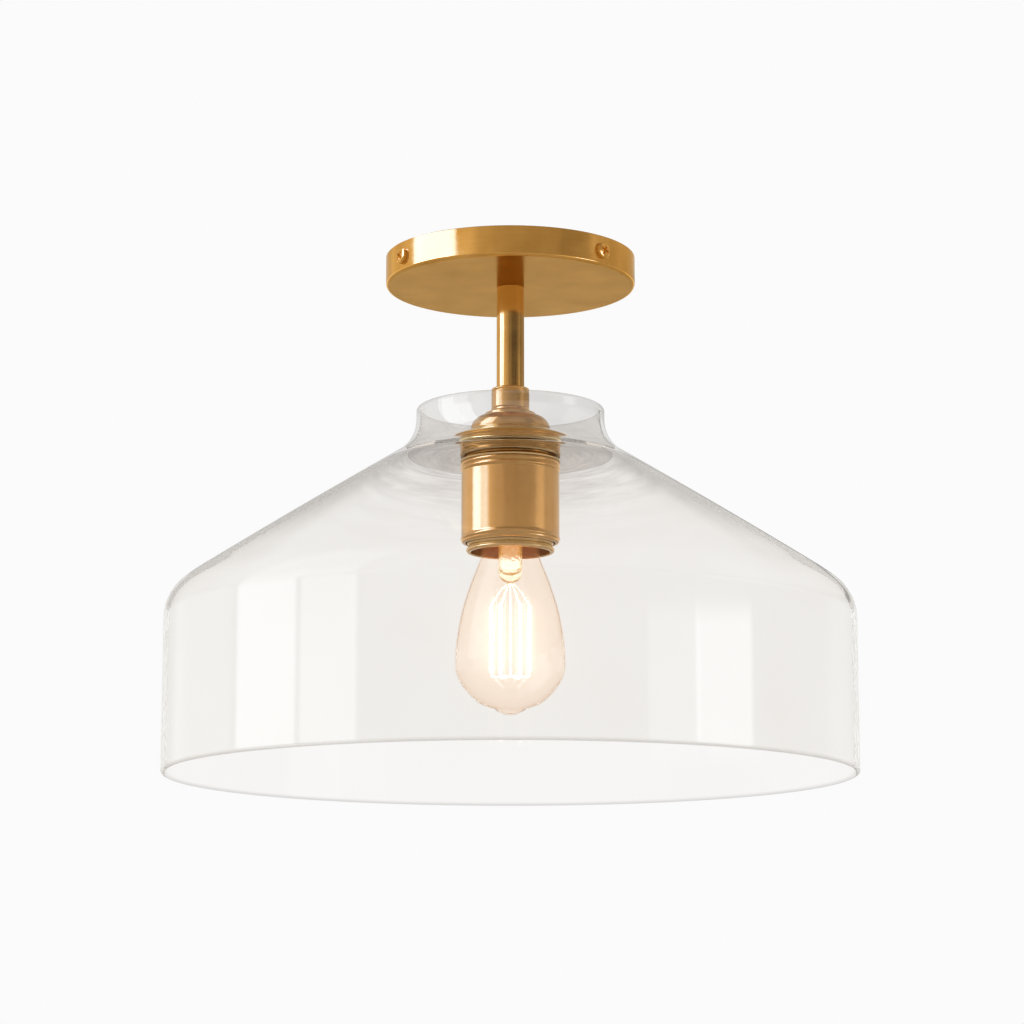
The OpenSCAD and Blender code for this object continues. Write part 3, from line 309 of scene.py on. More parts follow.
def round_the_axis(tree, around, along):
    """Coordinates that change fast along a turned surface and slowly around it."""
    x, y, z = split_xyz(tree, coordinates(tree))
    squares = [maths(tree, "MULTIPLY", value, value) for value in (x, y)]
    r = maths(tree, "SQRT", maths(tree, "ADD", *squares))
    safe = maths(tree, "MAXIMUM", r, LEAST_R * MM)
    join = tree.nodes.new("ShaderNodeCombineXYZ")
    for value, socket in zip((x, y), join.inputs):
        tree.links.new(maths(tree, "MULTIPLY", maths(tree, "DIVIDE", value, safe), around), socket)
    tree.links.new(maths(tree, "MULTIPLY", maths(tree, "ADD", z, r), along), join.inputs[2])
    return join.outputs[0]


# Part of a noise's range that its surface's roughness follows
MIDDLE = (0.3, 0.7)
# Shares of patches and of turned lines in the tone of brass
PATINA, LINES = 0.8, 0.2


def brass(name, dark, light, rough, mirrored, share, coat=0):
    """Brushed brass, which as far as share takes the mirrored colour where other brass mirrors it: a painted
    reflection, lighter or darker than the brass itself would mirror.
    """
    mat, tree, shader, _ = material(name)
    preset(shader, {"Metallic": 1.0, "Specular Tint": (1.0, 0.88, 0.62, 1),
                    "Coat Weight": coat, "Coat Roughness": 0.2, "Coat IOR": 1.6})
    patina = noise(tree, coordinates(tree), scale=55, detail=3, rough=0.5)
    streaks = noise(tree, round_the_axis(tree, around=1.2, along=2600), scale=1.0, detail=2, rough=0.5)
    patches, lines = maths(tree, "MULTIPLY", patina, PATINA), maths(tree, "MULTIPLY", streaks, LINES)
    mixed = maths(tree, "ADD", patches, lines)
    # Painted reflection: where a ray was mirrored, the colour turns towards the mirrored one
    reflection_paint_share = ranged(tree, light_path(tree)["Glossy Depth"], (0, 1), (0, share))
    tone = blended(tree, reflection_paint_share, tinted(tree, mixed, dark, light), mirrored)
    tree.links.new(tone, shader.inputs["Base Color"])
    tree.links.new(ranged(tree, mixed, MIDDLE, (rough * 0.85, rough * 1.2)), shader.inputs["Roughness"])
    bumped(tree, shader, streaks, strength=0.05, distance=0.06)
    return mat


def spotted(name, dark, light, rough, grain, detail, spread):
    """A surface whose colour and roughness vary in spots, with the spots' value."""
    mat, tree, shader, _ = material(name)
    spots = noise(tree, coordinates(tree), grain, detail)
    tree.links.new(tinted(tree, spots, dark, light), shader.inputs["Base Color"])
    less, more = spread
    tree.links.new(ranged(tree, spots, MIDDLE, (rough * less, rough * more)), shader.inputs["Roughness"])
    return mat, tree, shader, spots


def metal(name, dark, light, rough):
    mat, _, shader, _ = spotted(name, dark, light, rough, grain=420, detail=4, spread=(0.8, 1.25))
    shader.inputs["Metallic"].default_value = 1.0
    return mat


def solid(name, dark, light, rough, grain=300, coat=0.0):
    mat, tree, shader, spots = spotted(name, dark, light, rough, grain, detail=3, spread=(0.85, 1.15))
    shader.inputs["Coat Weight"].default_value = coat
    bumped(tree, shader, spots, strength=0.04, distance=0.2)
    return mat


# Tone of glass, and of the dome's painted grey band, by how far it turns away from the eye: painted shade at
# the glass's edges
EDGE_PAINTED_SHADE = ((0.0, 1.0), (0.8, 1.0), (0.9, 0.94), (1.0, 0.78))
PAINTED_GREY_BAND = ((0.0, 1.0), (0.7, 1.0), (0.8, 0.82), (0.92, 0.82), (1.0, 0.95))
# The dome, by share of its height: how far it has that painted grey band and the painted streaks of shade,
# its coat's weight and its tone, a painted shade that darkens its rim and its neck
PAINTED_GREY_HEIGHTS = ((0.0, 0.0), (0.55, 0.0), (0.68, 1.0), (0.88, 1.0), (0.92, 0.0), (1.0, 0.0))
PAINTED_STREAK_HEIGHTS = ((0.0, 0.0), (0.7, 0.0), (0.79, 0.12), (0.83, 0.5), (0.87, 0.4), (0.9, 0.3), (0.93, 0.0),
            (1.0, 0.0))
DOME_COAT = ((0.0, 0.5), (0.405, 0.5), (0.435, 0.15), (0.6, 0.1), (0.86, 0.1), (0.92, 0.8), (0.97, 0.8))
DOME_PAINTED_TONE = ((0.0, 0.76), (0.006, 0.82), (0.009, 1.0), (0.5, 0.995), (0.78, 0.98), (0.88, 0.95),
             (0.92, 0.88), (0.992, 0.86), (1.0, 0.75))
# Share of the coat that stays behind the first wall, and on faces that turn towards the axis
HIDDEN_COAT = 0.2


def dome_coat(tree, height, depth):
    """The coat's weight by height, less behind the first wall and on faces towards the axis."""
    behind = ranged(tree, depth, (1, 2), (1, HIDDEN_COAT))
    weight = maths(tree, "MULTIPLY", ramp(tree, height, DOME_COAT), behind)
    return maths(tree, "MULTIPLY", weight, ranged(tree, outward(tree), (0, 1), (HIDDEN_COAT, 1)))


def dome_painted_shade(tree, tone, height, facing):
    """The tone with the dome's painted shade, its painted grey band and the painted streaks of shade round
    its seat.
    """
    tone = blended(tree, 1, tone, ramp(tree, height, DOME_PAINTED_TONE), "MULTIPLY")
    tone = blended(tree, ramp(tree, height, PAINTED_GREY_HEIGHTS), tone, ramp(tree, facing, PAINTED_GREY_BAND), "MULTIPLY")
    # Painted streaks of shade, in rings round the axis
    lines = noise(tree, round_the_axis(tree, around=1.6, along=420), scale=1.0, detail=3, rough=0.6)
    streaks = ranged(tree, lines, (0.38, 0.6), (0.55, 1))
    return blended(tree, ramp(tree, height, PAINTED_STREAK_HEIGHTS), tone, streaks, "MULTIPLY")


def glass(name, dark, light, wave, wave_size, ior, coat=0, painted_glow=(0, 0, 0), painted_glow_strength=0, dome=False):
    """Clear glass that lets lamps light what is behind it, with a cloudy tone and waves, and a painted glow
    as if the lamp lit it.
    """
    mat, tree, shader, output = material(name)
    preset(shader, {"Transmission Weight": 1.0, "Roughness": 0.0, "IOR": ior,
                    "Coat Weight": coat, "Coat Roughness": 0.0,
                    "Emission Color": (*painted_glow, 1), "Emission Strength": painted_glow_strength})
    ray = light_path(tree)
    cloud = noise(tree, coordinates(tree), wave_size, detail=2, rough=0.4)
    facing = tree.nodes.new("ShaderNodeLayerWeight").outputs["Facing"]
    # Painted shade: the glass darkens where it turns away from the eye
    tone = blended(tree, 1, tinted(tree, cloud, dark, light), ramp(tree, facing, EDGE_PAINTED_SHADE), "MULTIPLY")
    if dome:
        height = split_xyz(tree, coordinates(tree, "Generated"))[2]
        shader.inputs["Coat IOR"].default_value = 1.8
        tree.links.new(dome_coat(tree, height, ray["Transmission Depth"]), shader.inputs["Coat Weight"])
        tone = dome_painted_shade(tree, tone, height, facing)
    tree.links.new(tone, shader.inputs["Base Color"])
    bumped(tree, shader, cloud, wave, distance=1)
    clear = tree.nodes.new("ShaderNodeBsdfTransparent")
    clear.inputs["Color"].default_value = (*light, 1)
    lighting = maths(tree, "MAXIMUM", ray["Is Shadow Ray"], ray["Is Diffuse Ray"])
    passing = maths(tree, "MAXIMUM", lighting, by_mirror(tree, ray))
    mix = tree.nodes.new("ShaderNodeMixShader")
    plugged(tree, mix, (passing, shader.outputs[0], clear.outputs[0]))
    tree.links.new(mix.outputs[0], output.inputs["Surface"])
    return mat


def glowing(name, dark, light, strength, mirrored):
    """A lit strip, of one strength as it is seen and another, a painted reflection, as it is mirrored."""
    mat, tree, shader, _ = material(name)
    tone = tinted(tree, noise(tree, coordinates(tree), scale=900, detail=2), dark, light)
    for part in ("Base Color", "Emission Color"):
        tree.links.new(tone, shader.inputs[part])
    power = ranged(tree, light_path(tree)["Glossy Depth"], (0, 1), (strength, mirrored))
    tree.links.new(power, shader.inputs["Emission Strength"])
    shader.inputs["Roughness"].default_value = 0.4
    return mat


# The brass finishes' mirrored colours are painted reflections: pale for most, dark for the stem.
LOOKS = {
    "brushed_brass": (brass, dict(dark=(0.72, 0.33, 0.06), light=(0.97, 0.51, 0.13), rough=0.15,
                                  mirrored=(0.95, 0.75, 0.45), share=0.7)),
    "stem_brass": (brass, dict(dark=(0.72, 0.35, 0.07), light=(0.85, 0.46, 0.125), rough=0.1,
                               mirrored=(0.25, 0.09, 0.0), share=0.65, coat=0.3)),
    "socket_brass": (brass, dict(dark=(0.74, 0.37, 0.095), light=(0.88, 0.49, 0.15), rough=0.19,
                                 mirrored=(0.95, 0.82, 0.5), share=0.9, coat=1.0)),
    "sleeve_brass": (brass, dict(dark=(0.84, 0.52, 0.20), light=(0.92, 0.60, 0.27), rough=0.25,
                                 mirrored=(1.0, 0.90, 0.68), share=1.0, coat=0.8)),
    "zinc_steel": (metal, dict(dark=(0.50, 0.50, 0.49), light=(0.66, 0.66, 0.65), rough=0.3)),
    "clear_glass": (glass, dict(dark=(0.962, 0.94, 0.918), light=(0.976, 0.958, 0.938), wave=0, wave_size=14,
                                ior=1.015, dome=True)),
    "gasket": (solid, dict(dark=(0.60, 0.38, 0.16), light=(0.68, 0.45, 0.2), rough=0.4)),
    "porcelain": (solid, dict(dark=(0.80, 0.78, 0.73), light=(0.88, 0.87, 0.83), rough=0.25,
                              grain=160, coat=0.6)),
    "contact_brass": (metal, dict(dark=(0.70, 0.47, 0.18), light=(0.82, 0.60, 0.28), rough=0.24)),
    "green_screw": (metal, dict(dark=(0.05, 0.26, 0.10), light=(0.09, 0.38, 0.17), rough=0.35)),
    "black_lead": (solid, dict(dark=(0.012, 0.012, 0.012), light=(0.03, 0.03, 0.03), rough=0.5)),
    "white_lead": (solid, dict(dark=(0.72, 0.72, 0.70), light=(0.82, 0.82, 0.80), rough=0.5)),
    "green_lead": (solid, dict(dark=(0.03, 0.22, 0.07), light=(0.05, 0.30, 0.10), rough=0.5)),
    "wire_nut_plastic": (solid, dict(dark=(0.62, 0.17, 0.02), light=(0.72, 0.22, 0.03), rough=0.35)),
    # The bulb's glass and its glass mount have a painted glow, as if lit by the strips inside
    "bulb_glass": (glass, dict(dark=(0.98, 0.875, 0.785), light=(0.99, 0.895, 0.81), wave=0, wave_size=40,
                               ior=1.012, coat=0.35, painted_glow=(1, 0.5, 0.2), painted_glow_strength=0.03)),
    "mount_glass": (glass, dict(dark=(0.95, 0.74, 0.36), light=(1.0, 0.86, 0.52), wave=0.5, wave_size=700,
                                ior=1.2, coat=0.3, painted_glow=(1, 0.66, 0.22), painted_glow_strength=0.16)),
    "insulator": (solid, dict(dark=(0.01, 0.01, 0.01), light=(0.025, 0.025, 0.025), rough=0.2)),
    "solder": (metal, dict(dark=(0.42, 0.42, 0.40), light=(0.56, 0.56, 0.54), rough=0.4)),
    "filament": (glowing, dict(dark=(1.0, 0.70, 0.40), light=(1.0, 0.78, 0.50), strength=40, mirrored=3.5)),
    # The support wires are no lamp: their glow is painted light.
    "support_wire": (glowing, dict(dark=(0.62, 0.42, 0.20), light=(0.75, 0.55, 0.30), strength=0.9,
                                   mirrored=0.9)),
}
MATERIALS = {name: make(name, **look) for name, (make, look) in LOOKS.items()}

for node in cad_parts.values():
    for place in node.material_slots:
        place.material = MATERIALS[place.material.name.split(".")[0]]


def dressed(piece, body, slot, node, finish=None):
    """Gives a new piece its finish and body, and puts it in the place of a node."""
    piece.data.materials.append(MATERIALS[finish or slot])
    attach(piece, body)
    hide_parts(node)


# Canopy: a shallow cup
CANOPY_R = radius("canopy")
Z_CANOPY = low("canopy")
CANOPY_WALL = 1.2
CANOPY_EDGE_R, CANOPY_CORNER_R, CHAMFER = 1.6, 0.4, 0.25
PIPE_HOLE_R = 5.1
canopy_in = CANOPY_R - CANOPY_WALL
z_canopy_in = Z_CANOPY + CANOPY_WALL
outline = ([(PIPE_HOLE_R, Z_CANOPY)]
           + arc((CANOPY_R - CANOPY_EDGE_R, Z_CANOPY + CANOPY_EDGE_R), CANOPY_EDGE_R, -90, 0, 10)
           + [(CANOPY_R, -CHAMFER), (CANOPY_R - CHAMFER, 0), (canopy_in + CHAMFER, 0), (canopy_in, -CHAMFER)]
           + arc((canopy_in - CANOPY_CORNER_R, z_canopy_in + CANOPY_CORNER_R), CANOPY_CORNER_R, 0, -90, 4)
           + [(PIPE_HOLE_R, z_canopy_in)])
dressed(turned("canopy_cover", outline, 384), "fixture", "brushed_brass", "canopy")

# Side screws: a domed head with a cross recess, on a shank
SCREW_ANGLES = (-58, 46, 174)
SCREW_DROP = 7.9
HEAD_R, HEAD_H, HEAD_GAP = 4.2, 2.2, 0.02
HEAD_RINGS, HEAD_SIDES = 26, 72
# Share of the head's height that is straight, and how much of a half circle its dome takes up
HEAD_WALL, DOME_SPREAD = 0.62, 0.985
# Cross: half width of its arms, width of their flanks, their reach, their sloping ends, depth and turn
CROSS_HALF, CROSS_FLANK, CROSS_REACH, CROSS_END, CROSS_DEPTH, CROSS_TURN = 0.42, 0.22, 2.6, 0.5, 1.15, 20
SHANK_R, SHANK_LEN, SHANK_IN = 2.0, 7.9, 0.2


def head_height(x, y, share):
    """Height of the head's face over its foot, at a share of its radius."""
    arm, reach = min(abs(x), abs(y)), max(abs(x), abs(y))
    cut = max(0.0, 1 - max(0.0, arm - CROSS_HALF) / CROSS_FLANK)
    cut *= min(1.0, max(0.0, (CROSS_REACH - reach) / CROSS_END))
    dome = sqrt(max(0.0, 1 - (share * DOME_SPREAD) ** 2))
    return HEAD_H * (HEAD_WALL + (1 - HEAD_WALL) * dome) - CROSS_DEPTH * cut


def add_screw_head(bm, seat):
    """A screw's head that stands on seat, a matrix."""
    turns = [2 * pi * k / HEAD_SIDES for k in range(HEAD_SIDES)]
    rows = []
    for i in range(HEAD_RINGS + 1):
        share = i / HEAD_RINGS
        points = [(HEAD_R * share * cos(a), HEAD_R * share * sin(a)) for a in turns]
        rows.append([bm.verts.new(seat @ Vector((x, y, head_height(x, y, share)))) for x, y in points])
    rows.append([bm.verts.new(seat @ Vector((HEAD_R * cos(a), HEAD_R * sin(a), 0))) for a in turns])
    for row, other in zip(rows, rows[1:]):
        bridge(bm, row, other)
    close(bm, rows[-1], bm.verts.new(seat @ Vector((0, 0, 0))))


bm = bmesh.new()
for angle in SCREW_ANGLES:
    seat = (Matrix.Rotation(radians(angle), 4, "Z")
            @ Matrix.Translation((0, -CANOPY_R - HEAD_GAP, -SCREW_DROP))
            @ Matrix.Rotation(radians(90), 4, "X")
            @ Matrix.Rotation(radians(CROSS_TURN + angle), 4, "Z"))
    add_screw_head(bm, seat)
    shank = [seat @ Vector((0, 0, SHANK_IN)), seat @ Vector((0, 0, -SHANK_LEN))]
    add_tube(bm, shank, SHANK_R, 24, round_ends=False)
dressed(finished("side_screws", bm), "fixture", "brushed_brass", "canopy_screws")

# Stem, with its two ends eased
Z_STEM = low("stem_tube")
STEM_R = radius("stem_tube")
STEM_BORE_R, STEM_EASE = 5.8, 0.25
outline = eased([(STEM_BORE_R, Z_CANOPY), (STEM_R, Z_CANOPY), (STEM_R, Z_STEM), (STEM_BORE_R, Z_STEM)],
                STEM_EASE)
dressed(turned("stem", outline, 192), "fixture", "brushed_brass", "stem_tube", finish="stem_brass")

# Collar under the stem: a bead, a groove and a plain body
Z_COLLAR = low("collar")
COLLAR_R = radius("collar")
BEAD_H = 1.6
BEAD_R = BEAD_H / 2
GROOVE, GROOVE_H = 0.55, 0.4
BEAD_OUT = 0.1
# Where the groove has risen to the body: in from the body and below the bead
GROOVE_RISE = ((0.04, 0.78), (0, 0.95))
# The body's eased foot: in from the body and above its end
BODY_FOOT = ((0, 0.3), (0.08, 0.1), (0.3, 0))
z_bead_foot = Z_STEM - BEAD_H
body_r = COLLAR_R - BEAD_OUT
outline = ([(PIPE_HOLE_R, Z_STEM)]
           + arc((COLLAR_R - BEAD_R, Z_STEM - BEAD_R), BEAD_R, 90, -60, 14)
           + [(COLLAR_R - GROOVE, z_bead_foot), (COLLAR_R - GROOVE, z_bead_foot - GROOVE_H)]
           + [(body_r - inset, z_bead_foot - drop) for inset, drop in GROOVE_RISE]
           + [(body_r - inset, Z_COLLAR + up) for inset, up in BODY_FOOT]
           + [(PIPE_HOLE_R, Z_COLLAR)])
dressed(turned("stem_collar", outline, 192), "fixture", "brushed_brass", "collar", finish="socket_brass")

# Socket cap: a cove, a small step and a dome over a plain band
Z_CAP = low("socket_cap")
CAP_R = radius("socket_cap")
CAP_WALL = 1
COVE_R, COVE_H = 3.3, 2.5
STEP_R, STEP_H = COLLAR_R + COVE_R, 1.4
BAND_H = 0.6
DOME_R = CAP_R - STEP_R
CAP_TOP_IN = 0.2
# Bevel of turned edges, and how far its middle lies from the corner
BEVEL, BEVEL_MID = 0.3, 0.09
# The dome's start: out from the step and above the dome's top, then the angle of its arc
DOME_START = ((0, 0.2), (0.08, 0.05))
DOME_TURN = 86
z_cove = Z_COLLAR - COVE_H
z_dome = z_cove - STEP_H
dome_c = (STEP_R, Z_CAP + BAND_H)
cove_turn = degrees(asin(COVE_H / COVE_R))
cove_in = COVE_R + CAP_WALL
outline = ([(PIPE_HOLE_R, Z_COLLAR), (COLLAR_R - CAP_TOP_IN, Z_COLLAR)]
           + arc((STEP_R, Z_COLLAR), COVE_R, 180, 180 + cove_turn, 10)[1:]
           + [(STEP_R - BEVEL, z_cove), (STEP_R - BEVEL_MID, z_cove - BEVEL_MID), (STEP_R, z_cove - BEVEL)]
           + [(STEP_R + out, z_dome + up) for out, up in DOME_START]
           + arc(dome_c, DOME_R, DOME_TURN, 0, 24)
           + [(CAP_R, Z_CAP), (CAP_R - CAP_WALL, Z_CAP)]
           + arc(dome_c, DOME_R - CAP_WALL, 0, 90, 12)
           + [(STEP_R - CAP_WALL, z_dome - CAP_WALL), (STEP_R - CAP_WALL, z_cove - CAP_WALL)]
           + arc((STEP_R, Z_COLLAR), cove_in, 180 + cove_turn, 180 + degrees(asin(CAP_WALL / cove_in)), 6)
           + [(PIPE_HOLE_R, Z_COLLAR - CAP_WALL)])
dressed(turned("holder_cap", outline), "fixture", "brushed_brass", "socket_cap", finish="socket_brass")

# Flange with its flared lip and the grooved barrel under it
Z_FLANGE_FOOT = low("shade_flange")
LIP_R = radius("shade_flange")
LIP_W, LIP_DROP, LIP_EDGE_R = 3.1, 4.2, 0.55
PLATE_T = 2.7
LAND_W, FLARE_SAG, FLARE_STEPS = 0.4, 1.4, 16
BARREL_GROOVES, BARREL_GROOVE, BARREL_STEPS, BARREL_OUT, FOOT_BEVEL = 3, 0.6, 72, 0.2, 0.2
WEB_HOLE_R = 24.3
NICK = 0.1
foot_r = LIP_R - LIP_W
barrel_r = foot_r + BARREL_OUT
z_lip = Z_CAP - LIP_DROP
z_barrel = z_lip - 2 * LIP_EDGE_R
z_plate = Z_CAP - PLATE_T
barrel_drop = Z_FLANGE_FOOT + FOOT_BEVEL - z_barrel
flare_from = Vector((CAP_R + LAND_W, Z_CAP))
flare_to = Vector((LIP_R - LIP_EDGE_R, z_lip + LIP_EDGE_R))
flare = [tuple(flare_from + (flare_to - flare_from) * t - Vector((0, FLARE_SAG * t * (1 - t))))
         for t in (i / FLARE_STEPS for i in range(FLARE_STEPS + 1))]
barrel = [(barrel_r - BARREL_GROOVE * (1 - abs(cos(pi * BARREL_GROOVES * i / BARREL_STEPS))),
           z_barrel + barrel_drop * i / BARREL_STEPS) for i in range(BARREL_STEPS + 1)]
outline = ([(PIPE_HOLE_R, Z_CAP), (CAP_R + LAND_W / 2, Z_CAP)]
           + flare
           + arc((LIP_R - LIP_EDGE_R, z_lip), LIP_EDGE_R, 60, -90, 12)
           + barrel
           + [(foot_r + NICK, Z_FLANGE_FOOT + NICK / 2), (foot_r, Z_FLANGE_FOOT),
              (WEB_HOLE_R + NICK, Z_FLANGE_FOOT), (WEB_HOLE_R, Z_FLANGE_FOOT + NICK), (WEB_HOLE_R, z_plate),
              (PIPE_HOLE_R, z_plate)])
dressed(turned("flange", outline), "fixture", "brushed_brass", "shade_flange", finish="socket_brass")

# Skirt: grip beads at its top, a bead over the rounded lower edge
Z_SKIRT, Z_SKIRT_LOW = high("skirt"), low("skirt")
SKIRT_R, SKIRT_WALL = 25.5, 0.8
GRIPS, GRIP_PITCH, GRIP_H, GRIP_STEPS = 2, 2.6, 0.5, 24
SKIRT_BEAD_H, SKIRT_BEAD_W, SKIRT_BEAD_UP = 0.45, 2.4, 0.1
SKIRT_EDGE_R = 1.3
# Inner radii of the skirt at its top and at its foot, and how far its top and its foot bend in
SKIRT_TOP_R, SKIRT_FOOT_R = 24.25, 23.35
SKIRT_TOP_IN, SKIRT_FOOT_IN = 0.12, 0.9
THREAD_IN, THREAD_LAP = 1.6, 0.05
skirt_in = SKIRT_R - SKIRT_WALL
z_skirt_bead = Z_SKIRT_LOW + SKIRT_EDGE_R + SKIRT_BEAD_UP + SKIRT_BEAD_W / 2
z_ring = Z_SKIRT - THREAD_IN + THREAD_LAP
grip_drop = GRIPS * GRIP_PITCH - NICK
grip_count = GRIPS * GRIP_STEPS
outline = ([(SKIRT_TOP_R, Z_SKIRT - NICK), (SKIRT_TOP_R + NICK, Z_SKIRT), (SKIRT_R - SKIRT_TOP_IN, Z_SKIRT)]
           + [(SKIRT_R + GRIP_H * abs(sin(pi * i / GRIP_STEPS)), Z_SKIRT - NICK - grip_drop * i / grip_count)
              for i in range(grip_count + 1)]
           + bead(SKIRT_R, SKIRT_BEAD_H, z_skirt_bead, SKIRT_BEAD_W / 2)
           + arc((SKIRT_R - SKIRT_EDGE_R, Z_SKIRT_LOW + SKIRT_EDGE_R), SKIRT_EDGE_R, 0, -90, 12)
           + [(SKIRT_FOOT_R + NICK, Z_SKIRT_LOW), (SKIRT_FOOT_R, Z_SKIRT_LOW + NICK),
              (SKIRT_FOOT_R, Z_SKIRT_LOW + SKIRT_WALL), (skirt_in - SKIRT_FOOT_IN, Z_SKIRT_LOW + SKIRT_WALL),
              (skirt_in, Z_SKIRT_LOW + SKIRT_EDGE_R), (skirt_in, z_ring), (SKIRT_TOP_R, z_ring)])
dressed(turned("skirt_shell", outline), "skirt", "brushed_brass", "skirt", finish="socket_brass")

# Sleeve inside the skirt, with its lower neck, bead and rolled lip
Z_MOUTH = low("inner_sleeve")
SLEEVE_LIP_R = radius("inner_sleeve")
SLEEVE_R, SLEEVE_BORE_R, MOUTH_R = 22.45, 21.65, 20.6
SLEEVE_NECK_IN, SLEEVE_NECK_H = 0.8, 7
NECK_BEAD_H, NECK_BEAD_W, NECK_BEAD_UP = 0.85, 2, 0.4
LIP_H = 2.6
SLEEVE_PLATE_T, SLEEVE_EDGE = 1.2, 0.2
# The step down to the neck: out from the neck and above its top, then the heights of the bore's own step
NECK_STEP = ((0.1, 0.15), (0, 0))
BORE_STEP_LOW, BORE_STEP_HIGH = 0.4, 1.6
LIP_ROLL_R = LIP_H / 2
sleeve_neck_r = SLEEVE_R - SLEEVE_NECK_IN
z_neck = Z_MOUTH + SLEEVE_NECK_H
z_neck_bead = (Z_MOUTH + LIP_H + z_neck) / 2 + NECK_BEAD_UP
z_sleeve_in = z_plate - SLEEVE_PLATE_T
outline = ([(PIPE_HOLE_R, z_plate), (SLEEVE_R - SLEEVE_EDGE, z_plate), (SLEEVE_R, z_plate - SLEEVE_EDGE),
            (SLEEVE_R, z_neck + SLEEVE_NECK_IN)]
           + [(sleeve_neck_r + out, z_neck + up) for out, up in NECK_STEP]
           + bead(sleeve_neck_r, NECK_BEAD_H, z_neck_bead, NECK_BEAD_W / 2)
           + arc((SLEEVE_LIP_R - LIP_ROLL_R, Z_MOUTH + LIP_ROLL_R), LIP_ROLL_R, 60, -90, 16)
           + [(MOUTH_R + BEVEL, Z_MOUTH), (MOUTH_R + BEVEL_MID, Z_MOUTH + BEVEL_MID),
              (MOUTH_R, Z_MOUTH + BEVEL), (MOUTH_R, z_neck + BORE_STEP_LOW),
              (SLEEVE_BORE_R, z_neck + BORE_STEP_HIGH), (SLEEVE_BORE_R, z_sleeve_in),
              (PIPE_HOLE_R, z_sleeve_in)])
dressed(turned("sleeve", outline), "fixture", "brushed_brass", "inner_sleeve", finish="sleeve_brass")

# Glass: rim, wall, shoulder, cone, fillet, neck and the inner web with its hole
Z_RIM, Z_NECK_TOP = low("glass_shade"), high("glass_shade")
GLASS_R = radius("glass_shade")
GLASS_T = 2.8
HALF_T = GLASS_T / 2
GLASS_WALL_H = 79.3
SHOULDER_R, SHOULDER_TURN, BLEND_R = 22, 50, 60
GLASS_NECK_R, GLASS_NECK_H = 98.1 / 2, 5.6
FILLET_R = 22.5
# Slopes of the slightly crowned cone, from level: at its top, on average and at its foot
SLOPE_IN, SLOPE, SLOPE_OUT = 31.7, 32.6, 33.5
GASKET_T, WEB_T = 0.8, 3.1
# Where the web runs into the wall: height of the bend above it, width of both bends, depth of the one below
WEB_BEND_UP, WEB_BEND_IN, WEB_BEND_DOWN = 3, 4, 2.4
CONE_IN_DROP = 3
# Edge of the web's hole, and how far the middle of its bevel lies from the corner
HOLE_BEVEL, HOLE_BEVEL_MID = 0.6, 0.15
# Ripples of the web's lower face: radius where they start, width, how many, depth on each side
RIPPLE_R, RIPPLE_W, RIPPLES, RIPPLE, RIPPLE_STEPS = 28, 27, 4, 0.09, 60
z_web = Z_FLANGE_FOOT - GASKET_T
z_web_low = z_web - WEB_T
turn_in, turn_out, turn = radians(SLOPE_IN), radians(SLOPE_OUT), radians(SHOULDER_TURN)
fillet_c = (GLASS_NECK_R + FILLET_R, Z_NECK_TOP - GLASS_NECK_H)
cone_from = Vector((fillet_c[0] - FILLET_R * sin(turn_in), fillet_c[1] - FILLET_R * cos(turn_in)))
wall_c = (GLASS_R - SHOULDER_R, Z_RIM + GLASS_WALL_H)
bend_c = (wall_c[0] + (SHOULDER_R - BLEND_R) * cos(turn), wall_c[1] + (SHOULDER_R - BLEND_R) * sin(turn))
cone_to = Vector((bend_c[0] + BLEND_R * sin(turn_out), bend_c[1] + BLEND_R * cos(turn_out)))
crown_r = (cone_to - cone_from).length / (2 * sin(radians((SLOPE_OUT - SLOPE_IN) / 2)))
cone_c = (cone_from.x - crown_r * sin(turn_in), cone_from.y - crown_r * cos(turn_in))
fillet_in = FILLET_R + GLASS_T
web_turn = degrees(asin((fillet_c[1] - z_web - WEB_BEND_UP) / fillet_in))


def wall_in(z):
    """Radius of the glass's inner face at a height of the fillet or the cone."""
    h, end_h = fillet_c[1] - z, fillet_in * cos(turn_in)
    if h < end_h:
        return fillet_c[0] - sqrt(fillet_in ** 2 - h ** 2)
    return fillet_c[0] - fillet_in * sin(turn_in) + (h - end_h) / tan(radians(SLOPE))


def at_wall(z, inwards=0):
    """The point at a height on the glass's inner face, or inwards from there."""
    return wall_in(z) - inwards, z


